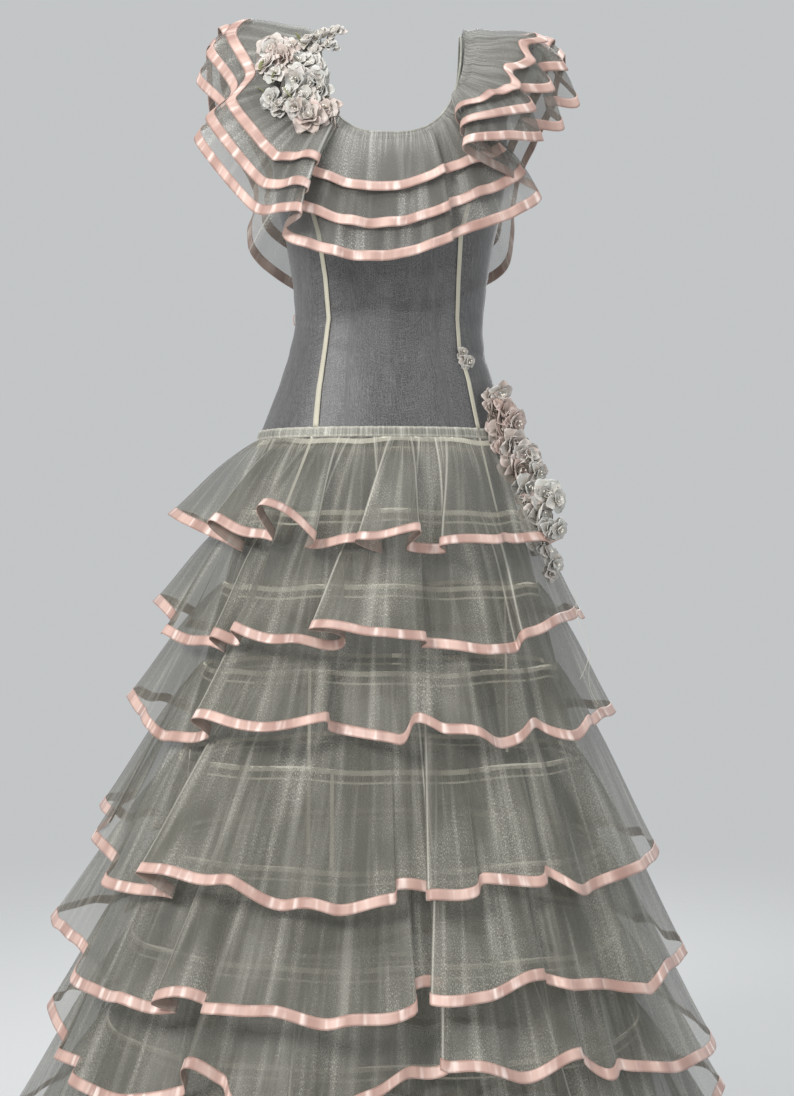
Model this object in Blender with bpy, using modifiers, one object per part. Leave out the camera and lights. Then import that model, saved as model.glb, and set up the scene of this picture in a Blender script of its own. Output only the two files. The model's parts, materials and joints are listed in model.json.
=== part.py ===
"""Ruffled organza evening gown, worn form with nobody in it.

Metres, +Z up, +X to the viewer's right, the front faces -Y. The origin is the middle of the
shoulder line, where a wearer's shoulders carry the gown. Tables are in centimetres, with depths
given as centimetres below the shoulder line.
"""

import math

import bmesh
import bpy
import numpy as np
from mathutils import Vector
from mathutils.bvhtree import BVHTree

CM = 0.01
SEAM_GAP = 0.0003
CLOTH = 0.0010
RIBBON_CLOTH = 0.0010
RIBBON_WIDTH = 0.0127
BAND_CLOTH = 0.0020
BAND_TOP = -0.474
BAND_HEIGHT = 0.012
UNDERSKIRT_HEM = -1.375
ARMHOLE_DEPTH = -0.205
NECK_FRONT = -0.139
NECK_BACK = -0.120
NECK_HALF_WIDTH = 0.086
BINDING_RADIUS = 0.0012
BINDING_GAP = 0.0024
COLLAR_LIFT = 0.0016
NECK_SEAM_GAP = 0.0015
SHOULDER_LIFT = 0.005
COLLAR_SWELL = 0.05
LAYER_LIFT = 0.0050
HEM_GAP = 0.0005
STEEPEST = 0.3
SEAM_TURN = 0.0014
LONGEST_SPAN = 0.034
TIER_CLEARANCE = 0.009
HEM_MARGIN = 0.04
GATHER_REACH = 3
GATHER_STEADY = 0.2
CLEAR_ANGLE = math.radians(9)
SHOULDER_CORE = (0.0, 2.0, -14.0)
BLOSSOM_GAP = 0.0012
SEAT_GAP = 0.0004
SETTLING_STEPS = 10
REACH = 0.025
SEAT_WIDTH = 0.004
PETAL_WAVE = 0.12
TAB_ANGLE = -80
TAB_TOP = -0.335
TAB_DROP = 0.013
TAB_TURN = 0.032
TAB_SAG = 0.0003
ROWS = (0, 0.04, 0.1, 0.19, 0.3, 0.44, 0.58, 0.72, 0.86, 1)
FOLD_OVERLAP = 0.05
FULLNESS = 0.08
SAG_MARGIN = 1.06
CLEAR_COLUMNS = 4
BAND_EASE = 1.003
BAND_COLUMNS = 48
SKIRT_COLUMNS = 17
SIDE_TURN = 0.0010
TAPE_TURN = 0.022
TAPE_TOP = 0.4
NECK_FALL = 0.72
NECK_SPREAD = 0.75
NECK_COLUMNS = 56
HALVINGS = 30
FLOWER_ROWS = 5
FLOWER_SUNK = 0.3
FLOWER_FLAT = 0.5
FLOWER_RAISED = 0.35

# Heights of the underskirt's rows: each flounce is sewn on between two of them
SKIRT_HEIGHTS = (-0.57, -0.75, -0.96, -1.16)

# Princess seams: metres below the shoulder, and degrees from centre front
PRINCESS_DEPTHS = (0.0, 0.14, 0.25, 0.474)
PRINCESS_DEGREES = (56.0, 46.0, 39.0, 40.0)

# Shares of the way across the front and back panels where the neck edge is cut
FRONT_SHARES = (0.0, 0.16, 0.31, 0.43, 0.52, 0.58, 0.63)
BACK_SHARES = (0.5, 0.56, 0.6, 0.66, 0.74, 0.86, 1.0)

# Upper edges of the side front and back panels: share of the way across, height in metres
SIDE_FRONT_EDGE = (
    (0, 0.0), (0.22, 0.0), (0.32, -0.045), (0.42, -0.11), (0.64, -0.175), (1, ARMHOLE_DEPTH),
)
BACK_EDGE = (
    (0, ARMHOLE_DEPTH), (0.15, -0.175), (0.22, -0.11), (0.25, -0.045), (0.3, 0.0), (0.42, 0.0),
)

# Bodice and underskirt rings: below shoulder, half width, shift across, front depth, back depth
RINGS = [
    (0.0, 14.2, 0.0, 0.08, 0.08),
    (0.6, 14.3, 0.0, 2.6, 2.6),
    (2.0, 14.5, 0.0, 4.7, 4.8),
    (5.0, 14.7, 0.0, 6.9, 7.0),
    (9.0, 14.8, 0.0, 8.6, 8.6),
    (14.0, 14.6, 0.0, 9.9, 9.6),
    (20.0, 13.6, 0.0, 10.9, 9.6),
    (25.0, 12.4, 0.0, 10.7, 9.1),
    (30.0, 11.6, 0.0, 9.4, 8.6),
    (34.6, 11.2, -0.1, 8.5, 8.4),
    (38.2, 11.7, -0.4, 8.7, 9.0),
    (42.0, 12.9, -0.4, 9.3, 10.0),
    (47.4, 14.2, -1.2, 10.5, 11.3),
    (57.0, 16.6, -1.2, 12.8, 13.6),
    (75.0, 21.0, -1.2, 17.1, 17.9),
    (96.0, 26.3, -1.4, 22.2, 23.0),
    (116.0, 31.4, -2.0, 27.0, 27.8),
    (139.0, 37.0, -2.5, 32.0, 32.8),
]

# Flounces: seam below shoulder, hem below shoulder, hem half width, shift, front depth, back depth
TIERS = [
    (48.65, 61.3, 21.2, -2.4, 18.5, 19.3),
    (57.0, 71.8, 23.8, -1.6, 22.0, 22.8),
    (65.5, 81.8, 27.0, -1.2, 24.6, 25.2),
    (75.0, 98.0, 32.0, -1.0, 30.0, 30.6),
    (85.5, 108.5, 36.6, -2.2, 32.8, 33.4),
    (96.0, 117.0, 37.0, -2.2, 34.8, 35.4),
    (106.0, 128.5, 41.5, -3.6, 37.4, 38.0),
    (116.0, 139.2, 44.0, -3.8, 39.4, 40.0),
]

# Turns of each flounce's hem, left side to right side: across, ahead of the hem ring, below shoulder
TIER_TURNS = [
    [
        (-25.4, 0.0, 57.5), (-15.6, -1.3, 61.8), (-19.3, 2.2, 58.7), (-12.2, 0.0, 60.9),
        (-13.3, 2.6, 56.9), (-7.6, 0.6, 60.5), (-8.6, -1.3, 61.2), (-1.0, -1.0, 61.7),
        (-3.5, 1.7, 60.9), (2.6, 0.9, 59.9), (1.4, -1.2, 61.7), (5.2, -1.0, 62.0),
        (4.8, 1.2, 61.2), (10.8, 0.6, 60.9), (11.6, -1.2, 60.8), (16.2, 0.4, 60.8),
        (18.9, 0.0, 60.2),
    ],
    [
        (-26.7, 0.0, 67.8), (-23.0, -0.8, 70.1), (-23.8, 1.8, 71.4), (-16.3, -1.0, 72.8),
        (-17.6, 1.2, 71.0), (-14.6, -1.0, 72.4), (-15.2, 1.8, 70.5), (-8.9, 1.0, 72.2),
        (-4.8, -0.6, 71.5), (-7.6, 2.0, 70.2), (-2.1, 2.4, 70.9), (3.6, 0.6, 71.5),
        (3.2, -1.3, 72.3), (10.5, 1.0, 73.0), (13.0, -1.0, 72.8), (13.6, 1.2, 71.8),
        (17.7, 1.0, 70.1), (21.4, -0.8, 69.6), (23.2, 0.0, 69.6),
    ],
    [
        (-29.6, 0.0, 79.2), (-24.4, 1.0, 82.0), (-22.6, -1.4, 83.0), (-17.5, -1.4, 82.3),
        (-19.3, 1.8, 79.8), (-12.5, 2.0, 81.1), (-6.6, 0.8, 79.8), (-6.0, -1.5, 81.3),
        (1.1, 1.0, 82.2), (2.6, -1.2, 80.5), (5.0, -0.6, 80.9), (10.2, 1.6, 82.3),
        (13.4, -0.2, 82.7), (15.7, -1.4, 81.5), (20.1, 1.4, 82.7), (22.9, -0.8, 81.5),
        (26.8, 0.0, 81.0),
    ],
    [
        (-34.0, 0.0, 92.3), (-31.4, -0.8, 93.2), (-31.6, 1.2, 95.0), (-27.4, -1.0, 96.6),
        (-27.7, 1.4, 97.9), (-20.3, -1.3, 98.6), (-24.0, 2.6, 95.8), (-15.0, 2.2, 96.8),
        (-9.9, 1.2, 98.8), (-5.8, 2.0, 98.9), (0.6, 0.4, 98.1), (0.6, -1.2, 97.2),
        (4.4, -0.9, 97.2), (3.8, 1.3, 97.8), (8.7, 0.8, 97.5), (9.3, -1.2, 96.8),
        (15.6, 0.6, 97.0), (16.2, -1.2, 96.4), (19.4, 1.0, 98.4), (21.2, -1.1, 98.4),
        (27.4, 0.8, 97.4), (31.6, 0.0, 97.5),
    ],
    [
        (-40.4, 0.0, 105.6), (-32.8, -1.0, 106.8), (-33.6, 2.0, 109.0), (-26.2, 1.8, 109.2),
        (-20.2, -1.2, 109.9), (-22.8, 1.4, 107.8), (-17.4, -0.9, 108.8), (-17.9, 1.4, 108.6),
        (-10.7, 1.8, 109.0), (-4.8, 2.2, 109.6), (2.4, 0.8, 108.9), (2.4, -1.4, 106.8),
        (5.6, -1.3, 106.8), (4.0, 1.0, 107.9), (9.2, 1.6, 107.6), (15.4, 0.0, 106.1),
        (15.9, -1.3, 107.3), (18.0, 1.1, 107.4), (21.5, 0.8, 107.9), (22.2, -1.2, 108.8),
        (27.3, 1.4, 109.6), (30.0, -0.9, 109.0), (34.9, 0.0, 109.4),
    ],
    [
        (-38.6, 0.0, 114.6), (-35.2, -1.1, 116.9), (-36.0, 1.8, 118.0), (-32.4, -1.1, 118.4),
        (-33.2, 1.8, 119.4), (-26.9, 1.6, 119.6), (-20.2, -1.2, 118.0), (-19.9, 1.3, 114.6),
        (-16.4, -0.9, 116.6), (-15.4, 1.6, 118.0), (-8.0, 2.2, 118.4), (-1.6, 0.8, 117.0),
        (2.6, -1.2, 115.4), (5.9, -1.0, 115.3), (5.4, 1.3, 113.8), (12.7, 1.8, 115.6),
        (19.2, 0.6, 114.6), (19.7, -1.2, 115.6), (22.6, 1.0, 117.2), (23.6, -1.1, 117.0),
        (28.9, 1.2, 118.4), (34.4, 0.0, 119.4),
    ],
]
TURNS_AGAIN = {6: 4, 7: 3}

# Turns of the collar's long hem, clockwise from the left shoulder's back to the right one's:
# neckline angle, across, back of the shoulder line, above it, middle layer's share, upper
# layer's, and how far the cloth stands up on its way
COLLAR_TURNS = [
    (-152, -11.8, 16.0, -28.5, 0.80, 0.58, 0.04),
    (-136, -17.8, 11.4, -23.8, 0.82, 0.62, 0.05),
    (-124, -17.6, 14.6, -15.6, 0.83, 0.64, 0.08),
    (-108, -22.2, 6.4, -7.6, 0.85, 0.67, 0.16),
    (-99, -22.2, 3.0, -0.4, 0.86, 0.67, 0.20),
    (-90, -21.6, 0.0, -2.4, 0.86, 0.68, 0.19),
    (-82, -23.0, -2.2, -6.0, 0.86, 0.68, 0.24),
    (-70, -19.4, -5.4, -10.6, 0.86, 0.68, 0.16),
    (-64, -22.8, -6.4, -13.8, 0.86, 0.68, 0.10),
    (-50, -15.4, -13.2, -23.2, 0.84, 0.62, 0.06),
    (-40, -9.8, -18.2, -24.2, 0.78, 0.54, 0.03),
    (-36, -11.6, -14.9, -25.7, 0.77, 0.52, 0.03),
    (-20, -5.9, -16.6, -28.2, 0.76, 0.50, 0.02),
    (0, -1.2, -17.6, -29.4, 0.76, 0.50, 0.02),
    (24, 6.6, -17.0, -27.3, 0.76, 0.50, 0.02),
    (30, 6.6, -14.4, -26.2, 0.77, 0.52, 0.02),
    (40, 12.6, -14.2, -23.7, 0.78, 0.54, 0.03),
    (49, 17.4, -9.2, -20.4, 0.80, 0.58, 0.05),
    (57, 14.6, -12.8, -18.4, 0.82, 0.62, 0.07),
    (64, 17.0, -10.2, -15.2, 0.83, 0.64, 0.12),
    (74, 20.4, -5.4, -11.2, 0.85, 0.67, 0.22),
    (82, 22.2, -1.6, -7.0, 0.85, 0.67, 0.30),
    (90, 20.4, 0.6, -4.0, 0.85, 0.67, 0.24),
    (98, 20.6, 3.4, -1.0, 0.85, 0.67, 0.17),
    (108, 20.2, 7.0, -7.0, 0.85, 0.67, 0.22),
    (122, 16.4, 13.8, -15.0, 0.83, 0.64, 0.12),
    (138, 15.0, 12.0, -25.6, 0.82, 0.62, 0.05),
    (154, 9.8, 16.4, -28.6, 0.80, 0.58, 0.04),
    (168, 4.6, 14.2, -31.0, 0.80, 0.56, 0.03),
    (182, -2.2, 16.8, -30.4, 0.80, 0.56, 0.03),
    (196, -6.8, 14.0, -31.2, 0.80, 0.56, 0.03),
]

# Blossoms: name, across, back of the shoulder line, above it, radius, height, petals, kind
SHOULDER_BLOSSOMS = [
    ("buds_top", -9.4, -2.0, -1.0, 2.0, 1.6, 5, "leaf"),
    ("frilled", -14.0, -4.2, -3.4, 2.0, 1.7, 6, "blush"),
    ("petal_white", -10.6, -5.6, -4.6, 1.5, 1.4, 5, "ivory"),
    ("large_white", -10.4, -8.2, -8.0, 2.4, 2.0, 7, "ivory"),
    ("small_white", -14.2, -8.0, -9.4, 1.3, 1.2, 5, "ivory"),
    ("low_rose", -8.8, -10.4, -12.2, 2.1, 1.8, 6, "blush"),
]
HIP_BLOSSOMS = [
    ("first", 13.0, -6.6, -42.6, 2.3, 1.9, 6, "blush"),
    ("second", 14.4, -7.6, -47.2, 2.3, 2.0, 6, "blush"),
    ("third", 15.8, -8.4, -51.6, 2.3, 2.0, 7, "blush"),
    ("fourth", 17.2, -9.0, -56.0, 2.2, 2.0, 6, "ivory"),
    ("fifth", 18.2, -9.6, -60.0, 2.0, 1.8, 6, "ivory"),
    ("last", 19.2, -9.8, -63.8, 1.4, 1.3, 5, "ivory"),
]
WAIST_BUD = ("waist_bud", 8.8, -7.0, -39.4, 0.9, 1.0, 5, "leaf")

COLOURS = {
    "organza": (0.36, 0.36, 0.32, 0.55),
    "bodice": (0.20, 0.20, 0.21, 0.60),
    "ribbon": (0.80, 0.52, 0.46, 0.30),
    "tape": (0.66, 0.63, 0.50, 0.70),
    "ivory": (0.80, 0.76, 0.68, 0.80),
    "blush": (0.82, 0.62, 0.58, 0.80),
    "leaf": (0.35, 0.36, 0.18, 0.70),
}


def clear_scene():
    for thing in list(bpy.data.objects):
        bpy.data.objects.remove(thing, do_unlink=True)


def material(name):
    red, green, blue, rough = COLOURS[name]
    made = bpy.data.materials.get(name)
    if made is None:
        made = bpy.data.materials.new(name)
        made.use_nodes = True
        shader = made.node_tree.nodes["Principled BSDF"]
        shader.inputs["Base Color"].default_value = (red, green, blue, 1.0)
        shader.inputs["Roughness"].default_value = rough
        shader.inputs["Metallic"].default_value = 0.0
    return made


def add_piece(name, colour, mesh):
    mesh.materials.append(material(colour))
    piece = bpy.data.objects.new(name, mesh)
    GOWN.objects.link(piece)
    mesh.shade_smooth()
    return piece


def diagonals(grid):
    """Which way each four-cornered patch is split: true where the falling diagonal is shorter."""
    beside = np.roll(grid, -1, axis=1)
    falling = np.linalg.norm(grid[:-1] - beside[1:], axis=2)
    rising = np.linalg.norm(grid[1:] - beside[:-1], axis=2)
    return falling < rising


def sheet_mesh(name, grid, closed, falling):
    """An open surface from rows of points, each row running round the piece."""
    rows, columns, _ = grid.shape
    body = bmesh.new()
    corners = [[body.verts.new(point) for point in row] for row in grid]
    spans = columns if closed else columns - 1
    for row in range(rows - 1):
        for column in range(spans):
            after = (column + 1) % columns
            here = corners[row][column]
            under = corners[row + 1][column]
            across = corners[row + 1][after]
            beside = corners[row][after]
            if falling[row][column]:
                body.faces.new((here, under, across))
                body.faces.new((here, across, beside))
            else:
                body.faces.new((here, under, beside))
                body.faces.new((under, across, beside))
    mesh = bpy.data.meshes.new(name)
    body.to_mesh(mesh)
    body.free()
    return mesh


def add_cloth(name, grid, closed, colour, thick=CLOTH, like=None):
    """A sheet given its wall by Solidify, half of it on each side; split like another grid."""
    falling = diagonals(grid if like is None else like)
    piece = add_piece(name, colour, sheet_mesh(name, grid, closed, falling))
    wall = piece.modifiers.new("wall", "SOLIDIFY")
    wall.thickness = thick
    wall.offset = 0.0
    return piece


def ring_sizes(z):
    """Half width, shift, front depth and back depth of the bodice or underskirt at a height."""
    table = np.array(RINGS) * CM
    return [float(np.interp(-z, table[:, 0], table[:, column])) for column in (1, 2, 3, 4)]


def body_point(angle, z):
    """A point of the gown's inner shape: angle 0 at centre front, 90 degrees at the right side."""
    half, shift, front, back = ring_sizes(z)
    depth = front if math.cos(angle) > 0 else back
    fullness = 1.0 - FULLNESS * math.sin(2 * angle) ** 2
    return np.array([
        shift + half * math.sin(angle) / fullness ** 0.5,
        -depth * math.cos(angle) / fullness ** 0.5,
        z,
    ])


def normals_of(grid, closed):
    """Outward unit normals of a grid of points."""
    if closed:
        along = np.roll(grid, -1, axis=1) - np.roll(grid, 1, axis=1)
    else:
        along = np.gradient(grid, axis=1)
    down = np.gradient(grid, axis=0)
    normal = np.cross(down, along)
    return normal / np.linalg.norm(normal, axis=2, keepdims=True)


def smooth_through(points, longest):
    """A closed smooth curve through the points, each span halved where it is longer than this."""
    before = np.roll(points, 1, axis=0)
    after = np.roll(points, -1, axis=0)
    last = np.roll(points, -2, axis=0)
    middle = (9 * (points + after) - before - last) / 16
    found = []
    for start, half, end in zip(points, middle, after):
        found.append(start)
        if np.linalg.norm((end - start)[:3]) > longest:
            found.append(half)
    return np.array(found)


def eased(turns, centre, overlap):
    """Turns that fold back under the one before, with only this share of the overlap kept."""
    found = turns.copy()
    around = np.arctan2(found[:, 0] - centre, -found[:, 1])
    step = np.roll(around, -1) - around
    step = (step + math.pi) % (2 * math.pi) - math.pi
    for row in np.flatnonzero(step < 0):
        after = (row + 1) % len(found)
        shift = -step[row] * (1 - overlap) / 2
        for spot, turn in ((row, -shift), (after, shift)):
            across = found[spot, 0] - centre
            behind = found[spot, 1]
            found[spot, 0] = centre + across * math.cos(turn) - behind * math.sin(turn)
            found[spot, 1] = across * math.sin(turn) + behind * math.cos(turn)
    return found


def hem_turns(number):
    """The hem's turning points all round: the front's from its table, the back's turned about."""
    _, hem, half, shift, front, back = TIERS[number]
    source = TURNS_AGAIN.get(number, number)
    _, source_hem, source_half, source_shift, _, _ = TIERS[source]
    turns = []
    for side, depth in ((-1, front), (1, back)):
        rows = TIER_TURNS[source] if side < 0 else TIER_TURNS[source][-2:0:-1]
        for across, ahead, below in rows:
            share = (across - source_shift) / source_half
            if number != source:
                share = -share
            out = depth * math.sqrt(max(0.0, 1 - share * share)) + ahead
            turns.append((shift + share * half, side * out, source_hem - below - hem))
    found = np.array(turns)
    if number != source:
        front_count = len(TIER_TURNS[source])
        found[:front_count] = found[:front_count][::-1]
        found[front_count:] = found[front_count:][::-1]
    return eased(found * CM, shift * CM, FOLD_OVERLAP)


def seam_angles(turned):
    """Where each column of cloth leaves its seam: its hem's own turn, evened among neighbours."""
    full = 2 * math.pi
    reach = GATHER_REACH
    ends = np.concatenate([turned[-reach:] - full, turned, turned[:reach] + full])
    evened = np.convolve(ends, np.ones(2 * reach + 1) / (2 * reach + 1), "valid")
    steady = np.arange(len(turned)) * full / len(turned)
    steady += np.mean(evened - steady)
    return evened * (1 - GATHER_STEADY) + steady * GATHER_STEADY


def clear_of(hem, lower, shift):
    """The hem moved out, as a whole stretch, where the flounce below would stand through it."""
    below_turn = np.arctan2(lower[..., 0] - shift, -lower[..., 1])
    below_reach = np.hypot(lower[..., 0] - shift, lower[..., 1])
    needed = np.ones(len(hem))
    for column, spot in enumerate(hem):
        share = (lower[0, :, 2] - spot[2]) / (lower[0, :, 2] - lower[1, :, 2])
        share = np.clip(share + HEM_MARGIN, 0, 1)
        reach = below_reach[0] + (below_reach[1] - below_reach[0]) * share
        turn = math.atan2(spot[0] - shift, -spot[1])
        apart = (below_turn[1] - turn + math.pi) % (2 * math.pi) - math.pi
        near = reach[np.abs(apart) < CLEAR_ANGLE]
        here = math.hypot(spot[0] - shift, spot[1])
        needed[column] = max(1.0, (near.max(initial=0.0) + TIER_CLEARANCE) / here)
    turns = range(-CLEAR_COLUMNS, CLEAR_COLUMNS + 1)
    widest = np.max([np.roll(needed, turn) for turn in turns], axis=0)
    scale = np.mean([np.roll(widest, turn) for turn in turns], axis=0)[:, None]
    centre = np.array((shift, 0, 0))
    return (hem - centre) * np.column_stack([scale, scale, scale * 0 + 1]) + centre


def tier_seam(number, angles):
    """The gathered edge, far enough out for its flat spans to clear the underskirt."""
    seam_z = -TIERS[number][0] * CM
    seam = np.array([body_point(angle, seam_z) for angle in angles])
    outward = seam * (1, 1, 0) - np.array((ring_sizes(seam_z)[1], 0, 0))
    reach = np.linalg.norm(outward, axis=1, keepdims=True)
    widest = np.max(np.diff(angles, append=angles[0] + 2 * math.pi))
    sag = SAG_MARGIN * reach.max() * (1 - math.cos(widest / 2))
    return seam + outward / reach * (CLOTH + SEAM_GAP + sag)


def tier_edges(number, lower=None):
    """The seam and the hem of one flounce, a point for each column of its cloth."""
    hem = smooth_through(hem_turns(number), LONGEST_SPAN)
    shift = TIERS[number][3] * CM
    if lower is not None:
        hem = clear_of(hem, lower, shift)
    turned = np.unwrap(np.arctan2(hem[:, 0] - shift, -hem[:, 1]))
    return np.array([tier_seam(number, seam_angles(turned)), hem])


def cloth_and_ribbon(start, hem):
    """Where the cloth stops and its ribbon begins, square to the hem however steep it runs."""
    run = start - hem
    run /= np.linalg.norm(run, axis=1, keepdims=True)
    onward = np.roll(hem, -1, axis=0) - hem
    onward /= np.linalg.norm(onward, axis=1, keepdims=True)
    after = np.linalg.norm(np.cross(run, onward), axis=1)
    before = np.linalg.norm(np.cross(run, np.roll(onward, 1, axis=0)), axis=1)
    slope = np.clip(np.minimum(after, before), STEEPEST, 1)[:, None]
    ribbon_top = hem + run * RIBBON_WIDTH / np.sqrt(slope)
    return ribbon_top + run * HEM_GAP / slope, ribbon_top


def add_tiers():
    lower = None
    for number in reversed(range(len(TIERS))):
        lower = tier_edges(number, lower)
        seam, hem = lower
        edge, ribbon_top = cloth_and_ribbon(seam, hem)
        add_cloth(f"tier_{number + 1}", np.array([seam, edge]), True, "organza", CLOTH, lower)
        ribbon = np.array([ribbon_top, hem])
        add_cloth(f"ribbon_{number + 1}", ribbon, True, "ribbon", RIBBON_CLOTH, lower)


def add_underskirt():
    heights = (BAND_TOP - BAND_HEIGHT - SEAM_GAP, *SKIRT_HEIGHTS, UNDERSKIRT_HEM)
    for name, middle in (("underskirt_front", 0.0), ("underskirt_back", math.pi)):
        reach = math.pi / 2 - SIDE_TURN
        angles = np.linspace(middle - reach, middle + reach, SKIRT_COLUMNS)
        grid = np.array([[body_point(angle, z) for angle in angles] for z in heights])
        add_cloth(name, grid, False, "organza")


def add_hip_band():
    angles = np.linspace(0, 2 * math.pi, BAND_COLUMNS, endpoint=False)
    rows = []
    for z in (BAND_TOP - SEAM_GAP, BAND_TOP - BAND_HEIGHT):
        ring = np.array([body_point(angle, z) for angle in angles])
        rows.append(ring * (BAND_EASE, BAND_EASE, 1.0))
    add_cloth("hip_band", np.array(rows), True, "organza", BAND_CLOTH)


def princess_angle(z):
    """The front seams run at 40 degrees round the waist and open to the strap's middle."""
    return math.radians(np.interp(-z, PRINCESS_DEPTHS, PRINCESS_DEGREES))


def panel(first, last, tops, rows):
    """A bodice panel between two seams: tops gives its upper edge at each share across."""
    grid = []
    for row in rows:
        line = []
        for share, top in tops:
            z = top * (1 - row) + (BAND_TOP + SEAM_GAP) * row
            angle = first(z) + (last(z) - first(z)) * share
            line.append(body_point(angle, z))
        grid.append(line)
    return np.array(grid)


def neck_spot(degrees):
    """Body angle and height of the neck edge: 0 at centre front, 90 at the shoulder, 180 behind."""
    turn = math.radians(degrees)
    z = (NECK_FRONT if degrees < 90 else NECK_BACK) * abs(math.cos(turn)) ** NECK_FALL
    across = NECK_HALF_WIDTH * abs(math.sin(turn)) ** NECK_SPREAD
    low, high = 0.0, math.pi / 2
    for _ in range(HALVINGS):
        middle = (low + high) / 2
        if body_point(middle, z)[0] - ring_sizes(z)[1] < across:
            low = middle
        else:
            high = middle
    return (low if degrees < 90 else math.pi - low), z


def neck_heights(shares, first, last, degrees):
    """The neck edge's height at each share of the way across a panel."""
    spots = [neck_spot(turn) for turn in degrees]
    across = [(angle - first(z)) / (last(z) - first(z)) for angle, z in spots]
    order = np.argsort(across)
    return np.interp(shares, np.array(across)[order], np.array([z for _, z in spots])[order])


def add_bodice():
    side = math.pi / 2
    heights = neck_heights(FRONT_SHARES, lambda z: 0.0, princess_angle, np.linspace(0, 89, 90))
    rise = tuple(zip(FRONT_SHARES, heights)) + ((0.8, 0.0), (1.0, 0.0))
    across = tuple((-share, top) for share, top in reversed(rise[1:])) + rise
    centre = panel(lambda z: 0.0, lambda z: princess_angle(z) - SEAM_TURN, across, ROWS)
    add_cloth("bodice_front_centre", centre, False, "bodice")
    heights = neck_heights(
        BACK_SHARES, lambda z: side, lambda z: math.pi, np.linspace(91, 180, 90)
    )
    back = BACK_EDGE + tuple(zip(BACK_SHARES, heights))
    for name, hand in (("right", 1), ("left", -1)):
        front_side = panel(
            lambda z: hand * (princess_angle(z) + SEAM_TURN),
            lambda z: hand * (side - SEAM_TURN),
            SIDE_FRONT_EDGE,
            ROWS,
        )
        back_half = panel(
            lambda z: hand * (side + SEAM_TURN),
            lambda z: hand * (math.pi - SEAM_TURN),
            back,
            ROWS,
        )
        if hand < 0:
            front_side = front_side[:, ::-1]
            back_half = back_half[:, ::-1]
        add_cloth(f"bodice_side_front_{name}", front_side, False, "bodice")
        add_cloth(f"bodice_back_{name}", back_half, False, "bodice")


def add_seam_tapes():
    heights = [(BAND_TOP + SEAM_GAP) * row for row in ROWS if row > TAPE_TOP]
    for name, hand in (("seam_tape_left", -1), ("seam_tape_right", 1)):
        rows = []
        for z in heights:
            middle = hand * princess_angle(z)
            rows.append([body_point(middle + turn, z) for turn in (-TAPE_TURN, 0.0, TAPE_TURN)])
        grid = np.array(rows)
        grid = grid + normals_of(grid, False) * (CLOTH + SEAM_GAP)
        add_cloth(name, grid, False, "tape")


def neckline(degrees):
    """The neck edge and the way out from the cloth there, for a turn of -180 to 180 degrees."""
    degrees = (degrees + 180) % 360 - 180
    angle, z = neck_spot(abs(degrees))
    angle = math.copysign(angle, degrees) if degrees else 0.0
    spot = body_point(angle, z)
    around = body_point(angle + 0.01, z) - body_point(angle - 0.01, z)
    down = body_point(angle, z - 0.002) - body_point(angle, min(0.0, z + 0.002))
    normal = np.cross(down, around)
    return spot, normal / np.linalg.norm(normal)


def collar_columns():
    """Neck edge, way out from it, hem, layer shares and swell for each column of the collar."""
    turns = np.array(COLLAR_TURNS, dtype=float)
    turns[:, 1:4] *= CM
    turns[:, 1:4] = eased(turns[:, 1:4], 0.0, FOLD_OVERLAP)
    around = np.degrees(np.unwrap(np.radians(turns[:, 0])))
    across = np.column_stack([turns[:, 1:], np.cos(np.radians(around)), np.sin(np.radians(around))])
    columns = smooth_through(across, LONGEST_SPAN)
    degrees = np.degrees(np.arctan2(columns[:, 7], columns[:, 6]))
    found = [neckline(turn) for turn in degrees]
    neck = np.array([spot for spot, _ in found])
    normal = np.array([way for _, way in found])
    radians = np.radians(degrees)
    outward = np.column_stack([np.sin(radians), -np.cos(radians), np.zeros(len(radians))])
    return neck, normal, columns, outward


def add_collar():
    neck, way_out, columns, outward = collar_columns()
    hem, middle, upper, rise = columns[:, :3], columns[:, 3:4], columns[:, 4:5], columns[:, 5:6]
    up = np.array((0, 0, 1.0))
    start = neck + way_out * (COLLAR_LIFT + SHOULDER_LIFT * (neck[:, :1] / NECK_HALF_WIDTH) ** 6)
    shares = (upper * 0, upper * 0.5, upper, middle, middle * 0 + 1)
    base = np.array([
        start + (hem - start) * at + (up * rise * at ** 2 + outward * COLLAR_SWELL * at) * (1 - at)
        for at in shares
    ])
    outward = normals_of(base, True)
    outward = sum(np.roll(outward, turn, axis=1) for turn in (-1, 0, 0, 1))
    outward /= np.linalg.norm(outward, axis=2, keepdims=True)
    outward[0] = way_out
    lift = np.array([CLOTH + NECK_SEAM_GAP] + [LAYER_LIFT] * 4)[:, None, None]
    for layer, name in enumerate(("lower", "middle", "upper")):
        grid = (base + outward * lift * layer)[: 5 - layer]
        edge, ribbon_top = cloth_and_ribbon(grid[-2], grid[-1])
        ribbon = np.array([ribbon_top, grid[-1]])
        grid[-1] = edge
        add_cloth(f"collar_{name}", grid, True, "organza", CLOTH, base)
        last = base[3 - layer:5 - layer]
        add_cloth(f"collar_ribbon_{name}", ribbon, True, "ribbon", RIBBON_CLOTH, last)


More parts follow.
